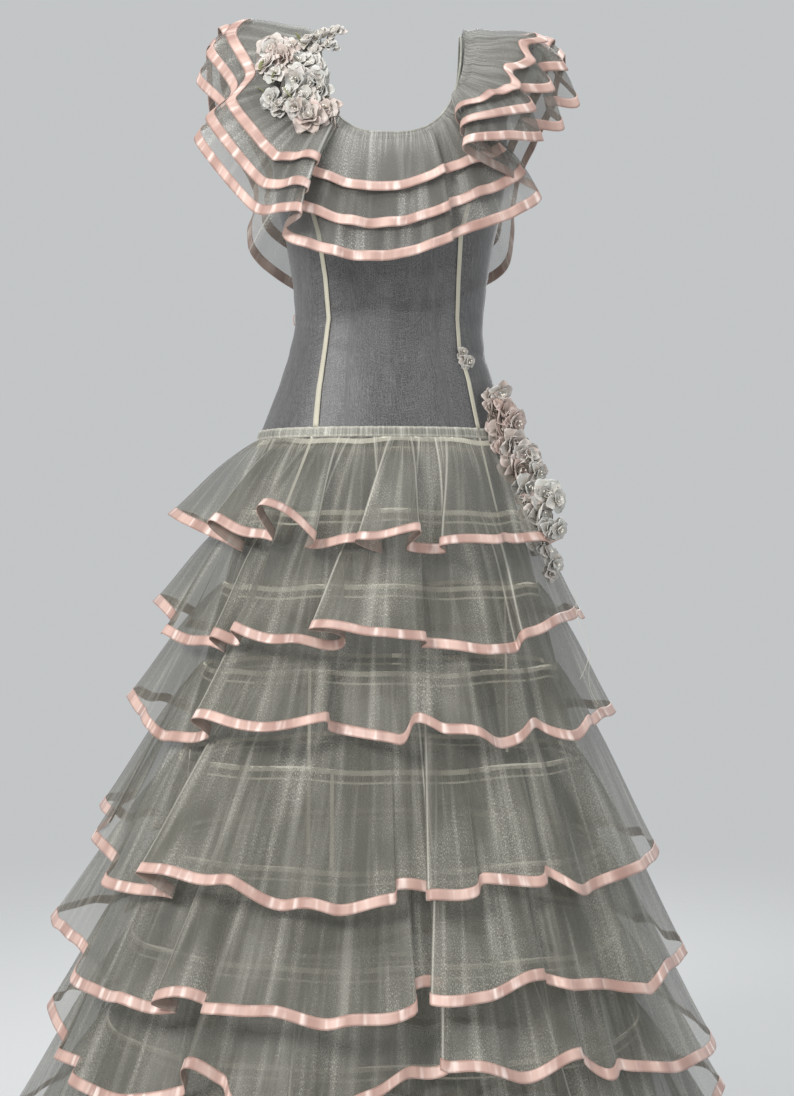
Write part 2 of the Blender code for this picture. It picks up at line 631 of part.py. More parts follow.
def add_neck_binding():
    outline = bpy.data.curves.new("neck_binding", "CURVE")
    outline.dimensions = "3D"
    outline.bevel_depth = BINDING_RADIUS
    outline.bevel_resolution = 0
    degrees = np.linspace(-180, 180, NECK_COLUMNS, endpoint=False)
    found = [neckline(turn) for turn in degrees]
    spots = np.array([spot for spot, _ in found])
    tangent = np.roll(spots, -1, axis=0) - np.roll(spots, 1, axis=0)
    off_edge = np.cross(tangent, np.array([way for _, way in found]))
    off_edge /= -np.linalg.norm(off_edge, axis=1, keepdims=True)
    run = outline.splines.new("POLY")
    run.points.add(len(degrees) - 1)
    run.use_cyclic_u = True
    for point, (x, y, z) in zip(run.points, spots + off_edge * (BINDING_RADIUS + BINDING_GAP)):
        point.co = (x, y, z, 1)
    outline.materials.append(material("tape"))
    GOWN.objects.link(bpy.data.objects.new("neck_binding", outline))


def support_tree(names):
    """The outer faces of finished pieces, for seating what is sewn on them."""
    bpy.context.view_layer.update()
    depsgraph = bpy.context.evaluated_depsgraph_get()
    points, faces = [], []
    for name in names:
        shape = bpy.data.objects[name].evaluated_get(depsgraph).to_mesh()
        base = len(points)
        points += [vertex.co.copy() for vertex in shape.vertices]
        faces += [[base + index for index in face.vertices] for face in shape.polygons]
    return BVHTree.FromPolygons(points, faces), points


def least_gap(body, tree, points):
    """The smallest distance between a blossom and what it is sewn to, measured both ways."""
    body.normal_update()
    own = BVHTree.FromBMesh(body)
    spots = [vertex.co for vertex in body.verts]
    for edge in body.edges:
        start, end = (vertex.co for vertex in edge.verts)
        spots += [start.lerp(end, share) for share in (0.25, 0.5, 0.75)]
    gaps = [tree.find_nearest(spot)[3] for spot in spots]
    for point in points:
        _, _, _, gap = own.find_nearest(point, REACH)
        if gap is not None:
            gaps.append(gap)
    return min(gaps)


def add_blossom(name, row, supports):
    """A gathered cloth blossom: waved petals round a sunk middle, its underside on the cloth."""
    across, behind, above, radius, height, petals, kind = row
    centre = Vector((across, behind, above)) * CM
    core = Vector(SHOULDER_CORE if above > -20 else (0, 0, above)) * CM
    way = (centre - core).normalized()
    tree, points = support_tree(supports)
    seat, _, _, _ = tree.ray_cast(centre + way * 0.2, -way, 0.5)
    body = bmesh.new()
    bmesh.ops.create_uvsphere(body, u_segments=2 * petals, v_segments=FLOWER_ROWS, radius=1.0)
    turn = way.to_track_quat("Z", "Y")
    lift = 0.0
    for vertex in body.verts:
        around = math.atan2(vertex.co.y, vertex.co.x)
        level = vertex.co.z
        wave = 1.0 - PETAL_WAVE * (1 - math.cos(petals * around)) * (1 - abs(level))
        sunk = FLOWER_SUNK if level > 0.9 else 0.0
        local = Vector((
            vertex.co.x * radius * CM * wave,
            vertex.co.y * radius * CM * wave,
            (level * FLOWER_FLAT + FLOWER_RAISED - sunk) * height * CM,
        ))
        vertex.co = seat + turn @ local
        for aside, along in ((0, 0), (1, 0), (-1, 0), (0, 1), (0, -1)):
            beside = vertex.co + turn @ Vector((aside, along, 0)) * SEAT_WIDTH
            hit, _, _, far = tree.ray_cast(beside + way * REACH, -way, 2 * REACH)
            if hit is not None:
                lift = max(lift, REACH - far + BLOSSOM_GAP)
    for _ in range(SETTLING_STEPS):
        for vertex in body.verts:
            vertex.co += way * lift
        lift = SEAT_GAP - least_gap(body, tree, points)
    mesh = bpy.data.meshes.new(name)
    body.to_mesh(mesh)
    body.free()
    add_piece(name, kind, mesh)


def add_sprays():
    placed = ["collar_upper", "collar_middle", "collar_lower", "bodice_front_centre"]
    placed += ["collar_ribbon_upper", "neck_binding"]
    for name, *row in SHOULDER_BLOSSOMS:
        add_blossom(f"shoulder_{name}", row, placed)
        placed.append(f"shoulder_{name}")
    placed = ["bodice_side_front_right", "bodice_front_centre", "hip_band", "seam_tape_right"]
    placed += ["tier_1", "ribbon_1", "tier_2"]
    for name, *row in HIP_BLOSSOMS:
        add_blossom(f"hip_{name}", row, placed)
        placed.append(f"hip_{name}")
    add_blossom(WAIST_BUD[0], WAIST_BUD[1:], placed)


def add_waist_tab():
    """A folded end of ribbon sewn at the left side seam, a fastening's loop."""
    angle = math.radians(TAB_ANGLE)
    heights = (TAB_TOP, TAB_TOP - TAB_DROP / 2, TAB_TOP - TAB_DROP)
    rows = [[body_point(angle + turn, z) for turn in (-TAB_TURN, 0.0, TAB_TURN)] for z in heights]
    grid = np.array(rows)
    grid = grid + normals_of(grid, False) * (CLOTH + SEAM_GAP + TAB_SAG)
    add_cloth("waist_tab", grid, False, "ribbon")


clear_scene()
GOWN = bpy.data.collections.new("ruffled_gown")
bpy.context.scene.collection.children.link(GOWN)
add_bodice()
add_seam_tapes()
add_hip_band()
add_underskirt()
add_tiers()
add_collar()
add_neck_binding()
add_sprays()
add_waist_tab()
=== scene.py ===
import json
import math

import bpy
import numpy as np
from mathutils import Matrix, Vector
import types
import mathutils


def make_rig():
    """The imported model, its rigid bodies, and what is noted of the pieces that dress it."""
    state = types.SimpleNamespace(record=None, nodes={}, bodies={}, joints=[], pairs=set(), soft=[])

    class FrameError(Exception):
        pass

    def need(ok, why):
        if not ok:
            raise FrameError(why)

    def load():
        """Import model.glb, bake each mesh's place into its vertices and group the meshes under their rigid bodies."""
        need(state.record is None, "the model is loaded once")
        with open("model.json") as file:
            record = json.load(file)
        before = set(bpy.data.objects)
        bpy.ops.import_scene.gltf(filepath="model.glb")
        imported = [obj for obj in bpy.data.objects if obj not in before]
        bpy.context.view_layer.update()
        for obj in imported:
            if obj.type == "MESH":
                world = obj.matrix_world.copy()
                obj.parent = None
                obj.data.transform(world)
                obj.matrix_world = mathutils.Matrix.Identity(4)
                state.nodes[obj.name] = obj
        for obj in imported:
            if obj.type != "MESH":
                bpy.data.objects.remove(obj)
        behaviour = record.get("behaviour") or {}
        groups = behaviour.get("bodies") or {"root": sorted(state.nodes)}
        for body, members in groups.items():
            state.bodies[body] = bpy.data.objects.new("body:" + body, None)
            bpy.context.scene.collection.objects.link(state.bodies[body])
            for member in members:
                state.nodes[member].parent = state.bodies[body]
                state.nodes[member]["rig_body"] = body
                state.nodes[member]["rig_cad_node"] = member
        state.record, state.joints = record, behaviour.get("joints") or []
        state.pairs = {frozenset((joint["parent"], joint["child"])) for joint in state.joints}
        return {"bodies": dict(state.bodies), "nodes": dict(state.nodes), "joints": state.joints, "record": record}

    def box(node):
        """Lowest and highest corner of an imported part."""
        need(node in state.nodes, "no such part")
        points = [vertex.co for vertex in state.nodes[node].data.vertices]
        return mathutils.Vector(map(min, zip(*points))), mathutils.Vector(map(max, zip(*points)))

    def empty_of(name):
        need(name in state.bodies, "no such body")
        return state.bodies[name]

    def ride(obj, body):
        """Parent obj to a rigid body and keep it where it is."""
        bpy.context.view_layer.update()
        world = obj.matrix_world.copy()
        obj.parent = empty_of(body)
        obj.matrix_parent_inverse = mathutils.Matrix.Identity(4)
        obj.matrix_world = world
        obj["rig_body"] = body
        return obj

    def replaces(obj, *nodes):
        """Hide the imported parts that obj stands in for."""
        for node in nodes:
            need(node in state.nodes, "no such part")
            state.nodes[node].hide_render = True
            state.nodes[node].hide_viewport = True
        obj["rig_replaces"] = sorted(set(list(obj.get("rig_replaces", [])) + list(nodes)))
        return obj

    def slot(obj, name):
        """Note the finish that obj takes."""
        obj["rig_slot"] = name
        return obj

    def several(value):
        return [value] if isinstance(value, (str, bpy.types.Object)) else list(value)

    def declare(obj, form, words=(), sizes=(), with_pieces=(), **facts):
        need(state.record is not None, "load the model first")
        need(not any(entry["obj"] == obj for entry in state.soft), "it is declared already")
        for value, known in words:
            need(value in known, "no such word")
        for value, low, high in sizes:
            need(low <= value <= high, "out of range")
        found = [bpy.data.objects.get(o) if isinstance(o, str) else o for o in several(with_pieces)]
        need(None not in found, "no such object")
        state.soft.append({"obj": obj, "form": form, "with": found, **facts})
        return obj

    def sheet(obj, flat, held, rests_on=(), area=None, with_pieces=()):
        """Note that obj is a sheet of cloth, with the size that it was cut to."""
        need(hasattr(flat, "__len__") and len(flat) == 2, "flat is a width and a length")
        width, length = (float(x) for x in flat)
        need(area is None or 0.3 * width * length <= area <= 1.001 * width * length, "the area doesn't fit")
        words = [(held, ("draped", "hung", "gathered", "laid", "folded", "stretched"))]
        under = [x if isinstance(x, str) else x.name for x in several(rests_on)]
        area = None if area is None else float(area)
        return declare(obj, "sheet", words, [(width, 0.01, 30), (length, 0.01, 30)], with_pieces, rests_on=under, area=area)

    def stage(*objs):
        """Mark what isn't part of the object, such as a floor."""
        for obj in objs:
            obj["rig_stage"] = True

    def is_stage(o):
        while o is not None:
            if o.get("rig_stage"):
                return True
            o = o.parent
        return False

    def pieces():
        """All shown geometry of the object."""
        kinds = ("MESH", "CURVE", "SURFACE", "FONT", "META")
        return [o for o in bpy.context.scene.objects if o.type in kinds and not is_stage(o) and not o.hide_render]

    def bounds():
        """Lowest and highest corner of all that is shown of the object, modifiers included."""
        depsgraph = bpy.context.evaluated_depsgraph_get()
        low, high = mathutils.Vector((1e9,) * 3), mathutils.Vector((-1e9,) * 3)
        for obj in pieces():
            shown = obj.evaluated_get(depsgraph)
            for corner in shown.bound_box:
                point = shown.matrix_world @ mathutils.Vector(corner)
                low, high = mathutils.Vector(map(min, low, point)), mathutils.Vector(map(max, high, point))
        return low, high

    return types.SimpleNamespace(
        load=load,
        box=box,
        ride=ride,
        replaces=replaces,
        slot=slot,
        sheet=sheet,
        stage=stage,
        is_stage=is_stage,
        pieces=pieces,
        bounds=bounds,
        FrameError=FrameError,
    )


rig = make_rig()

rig.load()
cad_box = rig.bounds()

# Camera, floor and light
# A level camera at the height of the gown's hip, a round pale floor that fades into pale grey
# air, and large soft lights from the viewer's left, so that the gown's shade falls to the right.
CAMERA_SPOT = (0.0084, -2.2, -0.613)
# The picture's height and the lens's distance from it are in pixels.
PICTURE_HEIGHT = 1096
LENS_PIXELS = 1833
PICTURE_REACH = PICTURE_HEIGHT / 2 / LENS_PIXELS
LIGHT_AIM = (0, 0, -0.6)
FLOOR = -1.42
# The floor is plain up to this far from its middle, and fades out at its edge.
FLOOR_PLAIN = 0.6
FLOOR_REACH = 3.0


class Link:
    """A shader socket. Python's operators on it add Math nodes to its material."""

    def __init__(self, finish, socket):
        self.finish = finish
        self.socket = socket

    def math(self, operation, first, second):
        return self.finish.node("Math", {"operation": operation}, {0: first, 1: second})

    def __add__(self, other):
        return self.math("ADD", self, other)

    def __sub__(self, other):
        return self.math("SUBTRACT", self, other)

    def __rsub__(self, other):
        return self.math("SUBTRACT", other, self)

    def __mul__(self, other):
        return self.math("MULTIPLY", self, other)


class Finish:
    """A material and the few kinds of node that the gown's cloths need."""

    def __init__(self, name, rough, gloss=0.5, sheen=0.0):
        self.material = bpy.data.materials.new(name)
        self.material.use_nodes = True
        self.tree = self.material.node_tree
        self.shader = self.tree.nodes["Principled BSDF"]
        self.feed("Specular IOR Level", gloss)
        self.feed("Sheen Weight", sheen)
        self.feed("Roughness", rough)

    def node(self, kind, settings, values, output=0):
        made = self.tree.nodes.new("ShaderNode" + kind)
        for name, value in settings.items():
            setattr(made, name, value)
        for name, value in values.items():
            if isinstance(value, Link):
                self.tree.links.new(value.socket, made.inputs[name])
            else:
                made.inputs[name].default_value = value
        return Link(self, made.outputs[output])

    def spot(self):
        """The place on the cloth: metres along its hem, then metres down from its seam."""
        return self.node("UVMap", {"uv_map": "cloth"}, {})

    def field(self, name):
        return self.node("Attribute", {"attribute_name": name}, {}, "Fac")

    def noise(self, vector, factors, detail=2.0, rough=0.5):
        scaled = self.node("VectorMath", {"operation": "MULTIPLY"}, {0: vector, 1: factors})
        values = {"Vector": scaled, "Scale": 1.0, "Detail": detail, "Roughness": rough}
        return self.node("TexNoise", {}, values)

    def step(self, value, low, high):
        values = {"Value": value, "From Min": low, "From Max": high}
        return self.node("MapRange", {"interpolation_type": "SMOOTHSTEP"}, values)

    def blend(self, share, first, second):
        settings = {"data_type": "RGBA", "clamp_factor": True}
        return self.node("Mix", settings, {0: share, 6: first, 7: second}, 2)

    def feed(self, socket, value):
        """What varies is linked; what is the same all over is set on the shader's own socket."""
        if isinstance(value, Link):
            self.tree.links.new(value.socket, self.shader.inputs[socket])
        else:
            self.shader.inputs[socket].default_value = value

    def bump(self, height, strength, distance):
        values = {"Height": height, "Strength": strength, "Distance": distance}
        self.feed("Normal", self.node("Bump", {}, values))


def add_object(name, data):
    made = bpy.data.objects.new(name, data)
    bpy.context.scene.collection.objects.link(made)
    return made


camera_data = bpy.data.cameras.new("camera")
camera_data.sensor_fit = "VERTICAL"
camera_data.angle_y = 2 * math.atan(PICTURE_REACH)
camera = add_object("camera", camera_data)
camera.location = CAMERA_SPOT
camera.rotation_euler = (math.pi / 2, 0, 0)
bpy.context.scene.camera = camera
bpy.context.scene.view_settings.view_transform = "Standard"
bpy.context.scene.cycles.transparent_max_bounces = 64

paper = Finish("floor_paper", 0.9)
paper.feed("Base Color", (0.62, 0.63, 0.635, 1))
place = paper.node("TexCoord", {}, {}, "Object")
from_middle = paper.node("VectorMath", {"operation": "LENGTH"}, {0: place}, "Value")
paper.feed("Alpha", paper.step(from_middle, FLOOR_REACH, FLOOR_PLAIN))
bpy.ops.mesh.primitive_circle_add(vertices=96, radius=FLOOR_REACH, fill_type="NGON")
floor = bpy.context.object
floor.name = "floor"
floor.location = (0, 0, FLOOR)
floor.data.materials.append(paper.material)
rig.stage(floor)


def add_light(name, spot, size, power, tint):
    data = bpy.data.lights.new(name, "AREA")
    data.shape = "SQUARE"
    data.size = size
    data.energy = power
    data.color = tint
    light = add_object(name, data)
    light.location = spot
    light.rotation_euler = (Vector(LIGHT_AIM) - Vector(spot)).to_track_quat("-Z", "Y").to_euler()


add_light("key_light", (-1.9, -2.4, 1.2), 1.1, 88, (1.0, 0.985, 0.965))
add_light("fill_light", (2.3, -2.2, 0.0), 1.8, 12, (0.96, 0.98, 1.0))
add_light("top_light", (0.2, -0.3, 2.2), 1.4, 34, (1.0, 1.0, 1.0))
add_light("back_light", (0.4, 2.8, 0.8), 1.8, 30, (1.0, 1.0, 1.0))
world = bpy.data.worlds.new("studio")
world.use_nodes = True
world.node_tree.nodes["Background"].inputs["Color"].default_value = (0.545, 0.56, 0.57, 1)
world.node_tree.nodes["Background"].inputs["Strength"].default_value = 1.0
bpy.context.scene.world = world

# Bodice
# Five sheer charcoal net panels, shaped by princess seams at the front and a centre back seam,
# cut low round the neck and sewn together at the shoulders, sides and hip.
CM = 0.01
# The gown's inner shape, ring by ring, in centimetres: how far below the shoulder line, half the
# width, the shift to the viewer's right, and the depth in front and behind.
RINGS = np.array([
    (0.0, 14.2, 0.0, 0.08, 0.08),
    (0.6, 14.3, 0.0, 2.6, 2.6),
    (2.0, 14.5, 0.0, 4.7, 4.8),
    (5.0, 14.7, 0.0, 6.9, 7.0),
    (9.0, 14.8, 0.0, 8.6, 8.6),
    (14.0, 14.6, 0.0, 9.9, 9.6),
    (20.0, 13.6, 0.0, 10.9, 9.6),
    (25.0, 12.4, 0.0, 10.7, 9.1),
    (30.0, 11.6, 0.0, 9.4, 8.6),
    (34.6, 11.2, -0.1, 8.5, 8.4),
    (38.2, 11.7, -0.4, 8.7, 9.0),
    (42.0, 12.9, -0.4, 9.3, 10.0),
    (47.4, 14.2, -1.2, 10.5, 11.3),
    (57.0, 16.6, -1.2, 12.8, 13.6),
    (75.0, 21.0, -1.2, 17.1, 17.9),
    (96.0, 26.3, -1.4, 22.2, 23.0),
    (116.0, 31.4, -2.0, 27.0, 27.8),
    (139.0, 37.0, -2.5, 32.0, 32.8),
]) * CM
RING_FULLNESS = 0.08
BAND_TOP = -0.474
NECK_FRONT = -0.139
NECK_BACK = -0.120
NECK_HALF_WIDTH = 0.086
NECK_FALL = 0.72
NECK_ROUND = 0.75
SEAM_TURN = 0.0014
PANEL_COLUMNS = 40
PANEL_ROWS = 90
STRAP_EDGE = 0.66
NECK_BEHIND = 0.45
# Fine wrinkles lie across the net at the waist.
WAIST = -0.36
WRINKLES = 210
WRINKLE_REACH = 0.05
WRINKLE_HEIGHT = 0.0003
ARMHOLE = -0.205
# The armhole's edge over a side front and a back panel: share of the width, and height.
ARMHOLE_FRONT = ((0, 0.0), (0.22, 0.0), (0.32, -0.045), (0.42, -0.11), (0.64, -0.175), (1, ARMHOLE))
ARMHOLE_BACK = ((0, ARMHOLE), (0.15, -0.175), (0.22, -0.11), (0.25, -0.045), (0.3, 0.0), (1, 0.0))
# No sheet's area is given as less than this share of its width times its depth.
LEAST_AREA = 0.31


def ring_sizes(z):
    """Half width, shift, depth in front and depth behind of the gown's inner shape at a height."""
    return [np.interp(-z, RINGS[:, 0], RINGS[:, at]) for at in (1, 2, 3, 4)]


def ring_point(angle, z):
    """A point of the gown's inner shape: angle 0 at centre front, 90 degrees at the right side."""
    half, shift, front, back = ring_sizes(z)
    depth = np.where(np.cos(angle) > 0, front, back)
    full = np.sqrt(1 - RING_FULLNESS * np.sin(2 * angle) ** 2)
    spots = (shift + half * np.sin(angle) / full, -depth * np.cos(angle) / full, z + 0 * angle)
    return np.stack(spots, axis=-1)


def lengths(points, axis):
    """How far along its row or column each point of a grid lies."""
    steps = np.linalg.norm(np.diff(points, axis=axis), axis=2)
    return np.concatenate([steps.take([0], axis) * 0, np.cumsum(steps, axis=axis)], axis=axis)


def wrapped(grid, closed):
    """A grid with its first column again at its end, where it closes."""
    return np.concatenate([grid, grid[:, :1]], axis=1) if closed else grid


def unit(vectors):
    """The same ways, each of length one."""
    return vectors / np.maximum(np.linalg.norm(vectors, axis=-1, keepdims=True), 1e-9)


def slopes(points, axis, closed):
    """The way from each point's neighbour before to its neighbour after."""
    if closed:
        return np.roll(points, -1, axis=axis) - np.roll(points, 1, axis=axis)
    return np.gradient(points, axis=axis)


def outward(grid, closed=False):
    """Unit normals of a grid."""
    return unit(np.cross(np.gradient(grid, axis=0), slopes(grid, 1, closed)))


def strip_on_ring(angles, heights, lift, closed=False):
    """Points laid on the gown's inner shape, moved out by their lift."""
    grid = ring_point(angles, heights)
    return grid + outward(grid, closed) * lift


def add_sheet(name, points, faces, finish, fields, wall):
    """A sheet of four-cornered faces in one finish, with each field's number at each point and
    its wall as a modifier where it has one."""
    mesh = bpy.data.meshes.new(name)
    mesh.from_pydata(points.reshape(-1, 3).tolist(), [], faces.reshape(-1, 4).tolist())
    mesh.shade_smooth()
    mesh.materials.append(finish.material)
    for field, values in fields.items():
        layer = mesh.attributes.new(field, "FLOAT", "POINT")
        layer.data.foreach_set("value", values.reshape(-1))
    piece = add_object(name, mesh)
    if wall:
        shell = piece.modifiers.new("wall", "SOLIDIFY")
        shell.thickness = wall
        shell.offset = 0.0
    return piece


def cloth(name, grid, finish, closed=False, fields=None, wall=0.0):
    """A sheet of cloth from rows of points that run to the viewer's right. It has its own pattern
    map, in metres along its hem and down from its seam."""
    rows, columns, _ = grid.shape
    ring = wrapped(grid, closed)
    hem = lengths(ring, 1)[-1]
    down = lengths(ring, 0)
    row, column = np.meshgrid(np.arange(rows - 1), np.arange(ring.shape[1] - 1), indexing="ij")
    corners = []
    places = []
    for lower, after in ((0, 0), (1, 0), (1, 1), (0, 1)):
        corners.append((row + lower) * columns + (column + after) % columns)
        places.append(np.stack([hem[column + after], down[row + lower, column + after]], axis=-1))
    fields = fields or {}
    spread = {field: np.broadcast_to(values, (rows, columns)) for field, values in fields.items()}
    piece = add_sheet(name, grid, np.stack(corners, axis=-1), finish, spread, wall)
    mapped = piece.data.uv_layers.new(name="cloth")
    mapped.data.foreach_set("uv", np.stack(places, axis=2).reshape(-1))
    return piece


def cut(grid, closed=False):
    """A sheet's cut before it was sewn: its longest edge, its depth and its area."""
    ring = wrapped(grid, closed)
    width = float(lengths(ring, 1)[:, -1].max())
    length = float(lengths(ring, 0)[-1].max())
    one_way = ring[1:, 1:] - ring[:-1, :-1]
    other_way = ring[1:, :-1] - ring[:-1, 1:]
    area = float(np.linalg.norm(np.cross(one_way, other_way), axis=2).sum() / 2)
    full = width * length
    return {"flat": (width, length), "area": min(max(area, LEAST_AREA * full), full)}


def sew_in(piece, slot, *nodes):
    """The piece takes its solids' place, rides the gown's one body and takes its slot."""
    if nodes:
        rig.replaces(piece, *nodes)
    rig.ride(piece, "root")
    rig.slot(piece, slot)


net = Finish("bodice_net", 0.42, 0.5, 0.15)
place = net.spot()
threads_down = net.noise(place, (1500, 40, 1), 1.0)
threads_across = net.noise(place, (40, 1500, 1), 1.0)
# Painted sheen: soft lighter patches over the net; its threads and fine grain lighten it too.
painted_sheen_patches = net.step(net.noise(place, (26, 7, 1), 3.0), 0.42, 0.75)
net_weave = threads_down * 0.5 + threads_across * 0.5
grain = net.step(net.noise(place, (640, 640, 1), 1.0), 0.42, 0.62)
threads_and_painted_sheen = painted_sheen_patches * 0.16 + net.step(net_weave, 0.42, 0.7) * 0.42 + grain * 0.44
net.feed("Base Color", net.blend(threads_and_painted_sheen, (0.046, 0.045, 0.046, 1), (0.255, 0.252, 0.254, 1)))
net.feed("Alpha", net.step(net_weave, 0.2, 0.75) * 0.22 + 0.70)
net.bump(net_weave, 0.35, 0.0006)


def princess_angle(z):
    """The front seams run at 40 degrees round the waist and open to the strap's middle."""
    return np.radians(np.interp(-z, (0.0, 0.14, 0.25, 0.474), (56.0, 46.0, 39.0, 40.0)))


def seam_drift(z):
    """Below the bust both front seams lean to the viewer's right, most of all at the hip."""
    return np.radians(np.interp(-z, (0.25, 0.322, 0.376, 0.423, 0.474), (0.0, 2.2, 3.9, 5.4, 10.3)))


def neck_spot(degrees):
    """Ring angle and height of the neck edge: 0 at centre front, 90 at the shoulder, 180 behind."""
    turn = np.radians(degrees)
    fall = np.where(degrees < 90, NECK_FRONT, NECK_BACK)
    z = fall * np.abs(np.cos(turn)) ** NECK_FALL
    across = NECK_HALF_WIDTH * np.abs(np.sin(turn)) ** NECK_ROUND
    low = np.zeros_like(z)
    high = low + math.pi / 2
    for _ in range(30):
        middle = (low + high) / 2
        short = ring_point(middle, z)[..., 0] < across
        low = np.where(short, middle, low)
        high = np.where(short, high, middle)
    return np.where(degrees < 90, low, math.pi - low), z


def neck_heights(shares, first, last, degrees):
    """The neck edge's height at each share of the way across a panel."""
    angle, z = neck_spot(degrees)
    across = (angle - first(z)) / (last(z) - first(z))
    order = np.argsort(across)
    return np.interp(shares, across[order], z[order])


def panel(first, last, shares, tops):
    """A bodice panel between two seams: tops gives its upper edge at each share across."""
    row = np.linspace(0, 1, PANEL_ROWS)[:, None] ** 1.3
    z = tops * (1 - row) + BAND_TOP * row
    angle = first(z) + (last(z) - first(z)) * shares
    wrinkle = np.sin(z * WRINKLES + 3 * angle) * np.exp(-((z - WAIST) / WRINKLE_REACH) ** 2)
    return strip_on_ring(angle, z, (wrinkle * WRINKLE_HEIGHT)[..., None])


def upright(turn):
    """A seam that stays at one angle round the gown."""
    return lambda z: 0 * z + turn


def eased_steps(shares, table):
    """A panel's upper edge from a short table, its corners rounded."""
    edge = np.interp(shares, [row[0] for row in table], [row[1] for row in table])
    padded = np.pad(edge, 2, mode="edge")
    return np.convolve(padded, np.ones(5) / 5, "valid")


panels = {}
centre_front = upright(0)
side_seam = upright(math.pi / 2)
centre_back = upright(math.pi)
shares = np.linspace(0, 1, PANEL_COLUMNS)
rise = neck_heights(shares, centre_front, princess_angle, np.linspace(0, 89, 90))
rise = np.where(shares > STRAP_EDGE, 0.0, rise)
front_right = panel(
    seam_drift, lambda z: seam_drift(z) + princess_angle(z) - SEAM_TURN, shares, rise
)
front_left = panel(
    lambda z: seam_drift(z) - princess_angle(z) + SEAM_TURN, seam_drift, shares, rise[::-1]
)
panels["bodice_front_centre"] = np.concatenate([front_left[:, :-1], front_right], axis=1)
armhole_front = eased_steps(shares, ARMHOLE_FRONT)
armhole_back = eased_steps(shares, ARMHOLE_BACK)
neck_behind = neck_heights(shares, side_seam, centre_back, np.linspace(91, 180, 90))
back_tops = np.where(shares < NECK_BEHIND, armhole_back, neck_behind)
for hand, side in ((1, "right"), (-1, "left")):
    front_side = panel(
        lambda z: hand * (princess_angle(z) + SEAM_TURN) + seam_drift(z),
        lambda z: hand * (side_seam(z) - SEAM_TURN),
        shares,
        armhole_front,
    )
    back_half = panel(
        lambda z: hand * (side_seam(z) + SEAM_TURN),
        lambda z: hand * (centre_back(z) - SEAM_TURN),
        shares,
        back_tops,
    )
    panels[f"bodice_side_front_{side}"] = front_side[:, ::hand]
    panels[f"bodice_back_{side}"] = back_half[:, ::hand]
bodice = {}
for name, grid in panels.items():
    bodice[name] = cloth(name + "_net", grid, net)
    sew_in(bodice[name], "bodice", name)

# Seam tapes
# A narrow cream tape covers each princess seam from under the collar to the hip, and turns with
# it; a row of small stitches runs down each edge.
TAPE_WIDTH = 0.0058
TAPE_TOP = -0.215
TAPE_LIFT = 0.0016
# Half the bodice's mean width, by which the tape's width becomes a turn round it.
MEAN_RADIUS = 0.12
# Stitches: their pitch, length and thickness.
TAPE_STITCHES = (0.0035, 0.0024, 0.0004)
BAND_STITCHES = (0.0038, 0.0026, 0.0005)

tape_cloth = Finish("cream_tape", 0.62, 0.35, 0.2)
place = tape_cloth.spot()
tape_weave = tape_cloth.noise(place, (1600, 1600, 1), 1.0)
tape_age = tape_cloth.noise(place, (30, 30, 1), 3.0)
tape_mix = tape_weave * 0.35 + tape_age * 0.65
tape_cloth.feed("Base Color", tape_cloth.blend(tape_mix, (0.42, 0.39, 0.29, 1), (0.74, 0.71, 0.59, 1)))
tape_cloth.bump(tape_weave, 0.4, 0.0005)


def shape_tree(name, sizes, nodes, links):
    """A node tree that sets a small shape on every point, makes the shapes real and gives them
    their finish. The sizes are its inputs; each node has its kind, settings and values."""
    tree = bpy.data.node_groups.new(name, "GeometryNodeTree")
    inputs = [("Geometry", "Geometry"), *((size, "Float") for size in sizes), ("Finish", "Material")]
    for label, kind in inputs:
        tree.interface.new_socket(label, in_out="INPUT", socket_type="NodeSocket" + kind)
    tree.interface.new_socket("Geometry", in_out="OUTPUT", socket_type="NodeSocketGeometry")
    nodes = {
        "given": ("NodeGroupInput", {}, {}),
        **nodes,
        "placed": ("GeometryNodeInstanceOnPoints", {}, {}),
        "real": ("GeometryNodeRealizeInstances", {}, {}),
        "coloured": ("GeometryNodeSetMaterial", {}, {}),
        "made": ("NodeGroupOutput", {}, {}),
    }
    added = {}
    for label, (kind, settings, values) in nodes.items():
        added[label] = tree.nodes.new(kind)
        for setting, value in settings.items():
            setattr(added[label], setting, value)
        for socket, value in values.items():
            added[label].inputs[socket].default_value = value
    for start, output, end, socket in (
        *links,
        ("placed", "Instances", "real", "Geometry"),
        ("real", "Geometry", "coloured", "Geometry"),
        ("given", "Finish", "coloured", "Material"),
        ("coloured", "Geometry", "made", "Geometry"),
    ):
        tree.links.new(added[start].outputs[output], added[end].inputs[socket])
    return tree


def repeat_shape(name, points, edges, tree, sizes, finish, slot):
    """What a tree makes of points and edges, as one plain mesh."""
    mesh = bpy.data.meshes.new(name)
    mesh.from_pydata([tuple(spot) for spot in points], edges, [])
    guide = add_object(name + "_guide", mesh)
    shapes = guide.modifiers.new("shapes", "NODES")
    shapes.node_group = tree
    sockets = {item.name: item.identifier for item in tree.interface.items_tree}
    for label, value in sizes.items():
        shapes[sockets[label]] = value
    shapes[sockets["Finish"]] = finish.material
    depsgraph = bpy.context.evaluated_depsgraph_get()
    plain = bpy.data.meshes.new_from_object(guide.evaluated_get(depsgraph))
    bpy.data.objects.remove(guide, do_unlink=True)
    plain.name = name
    plain.shade_smooth()
    sew_in(add_object(name, plain), slot)


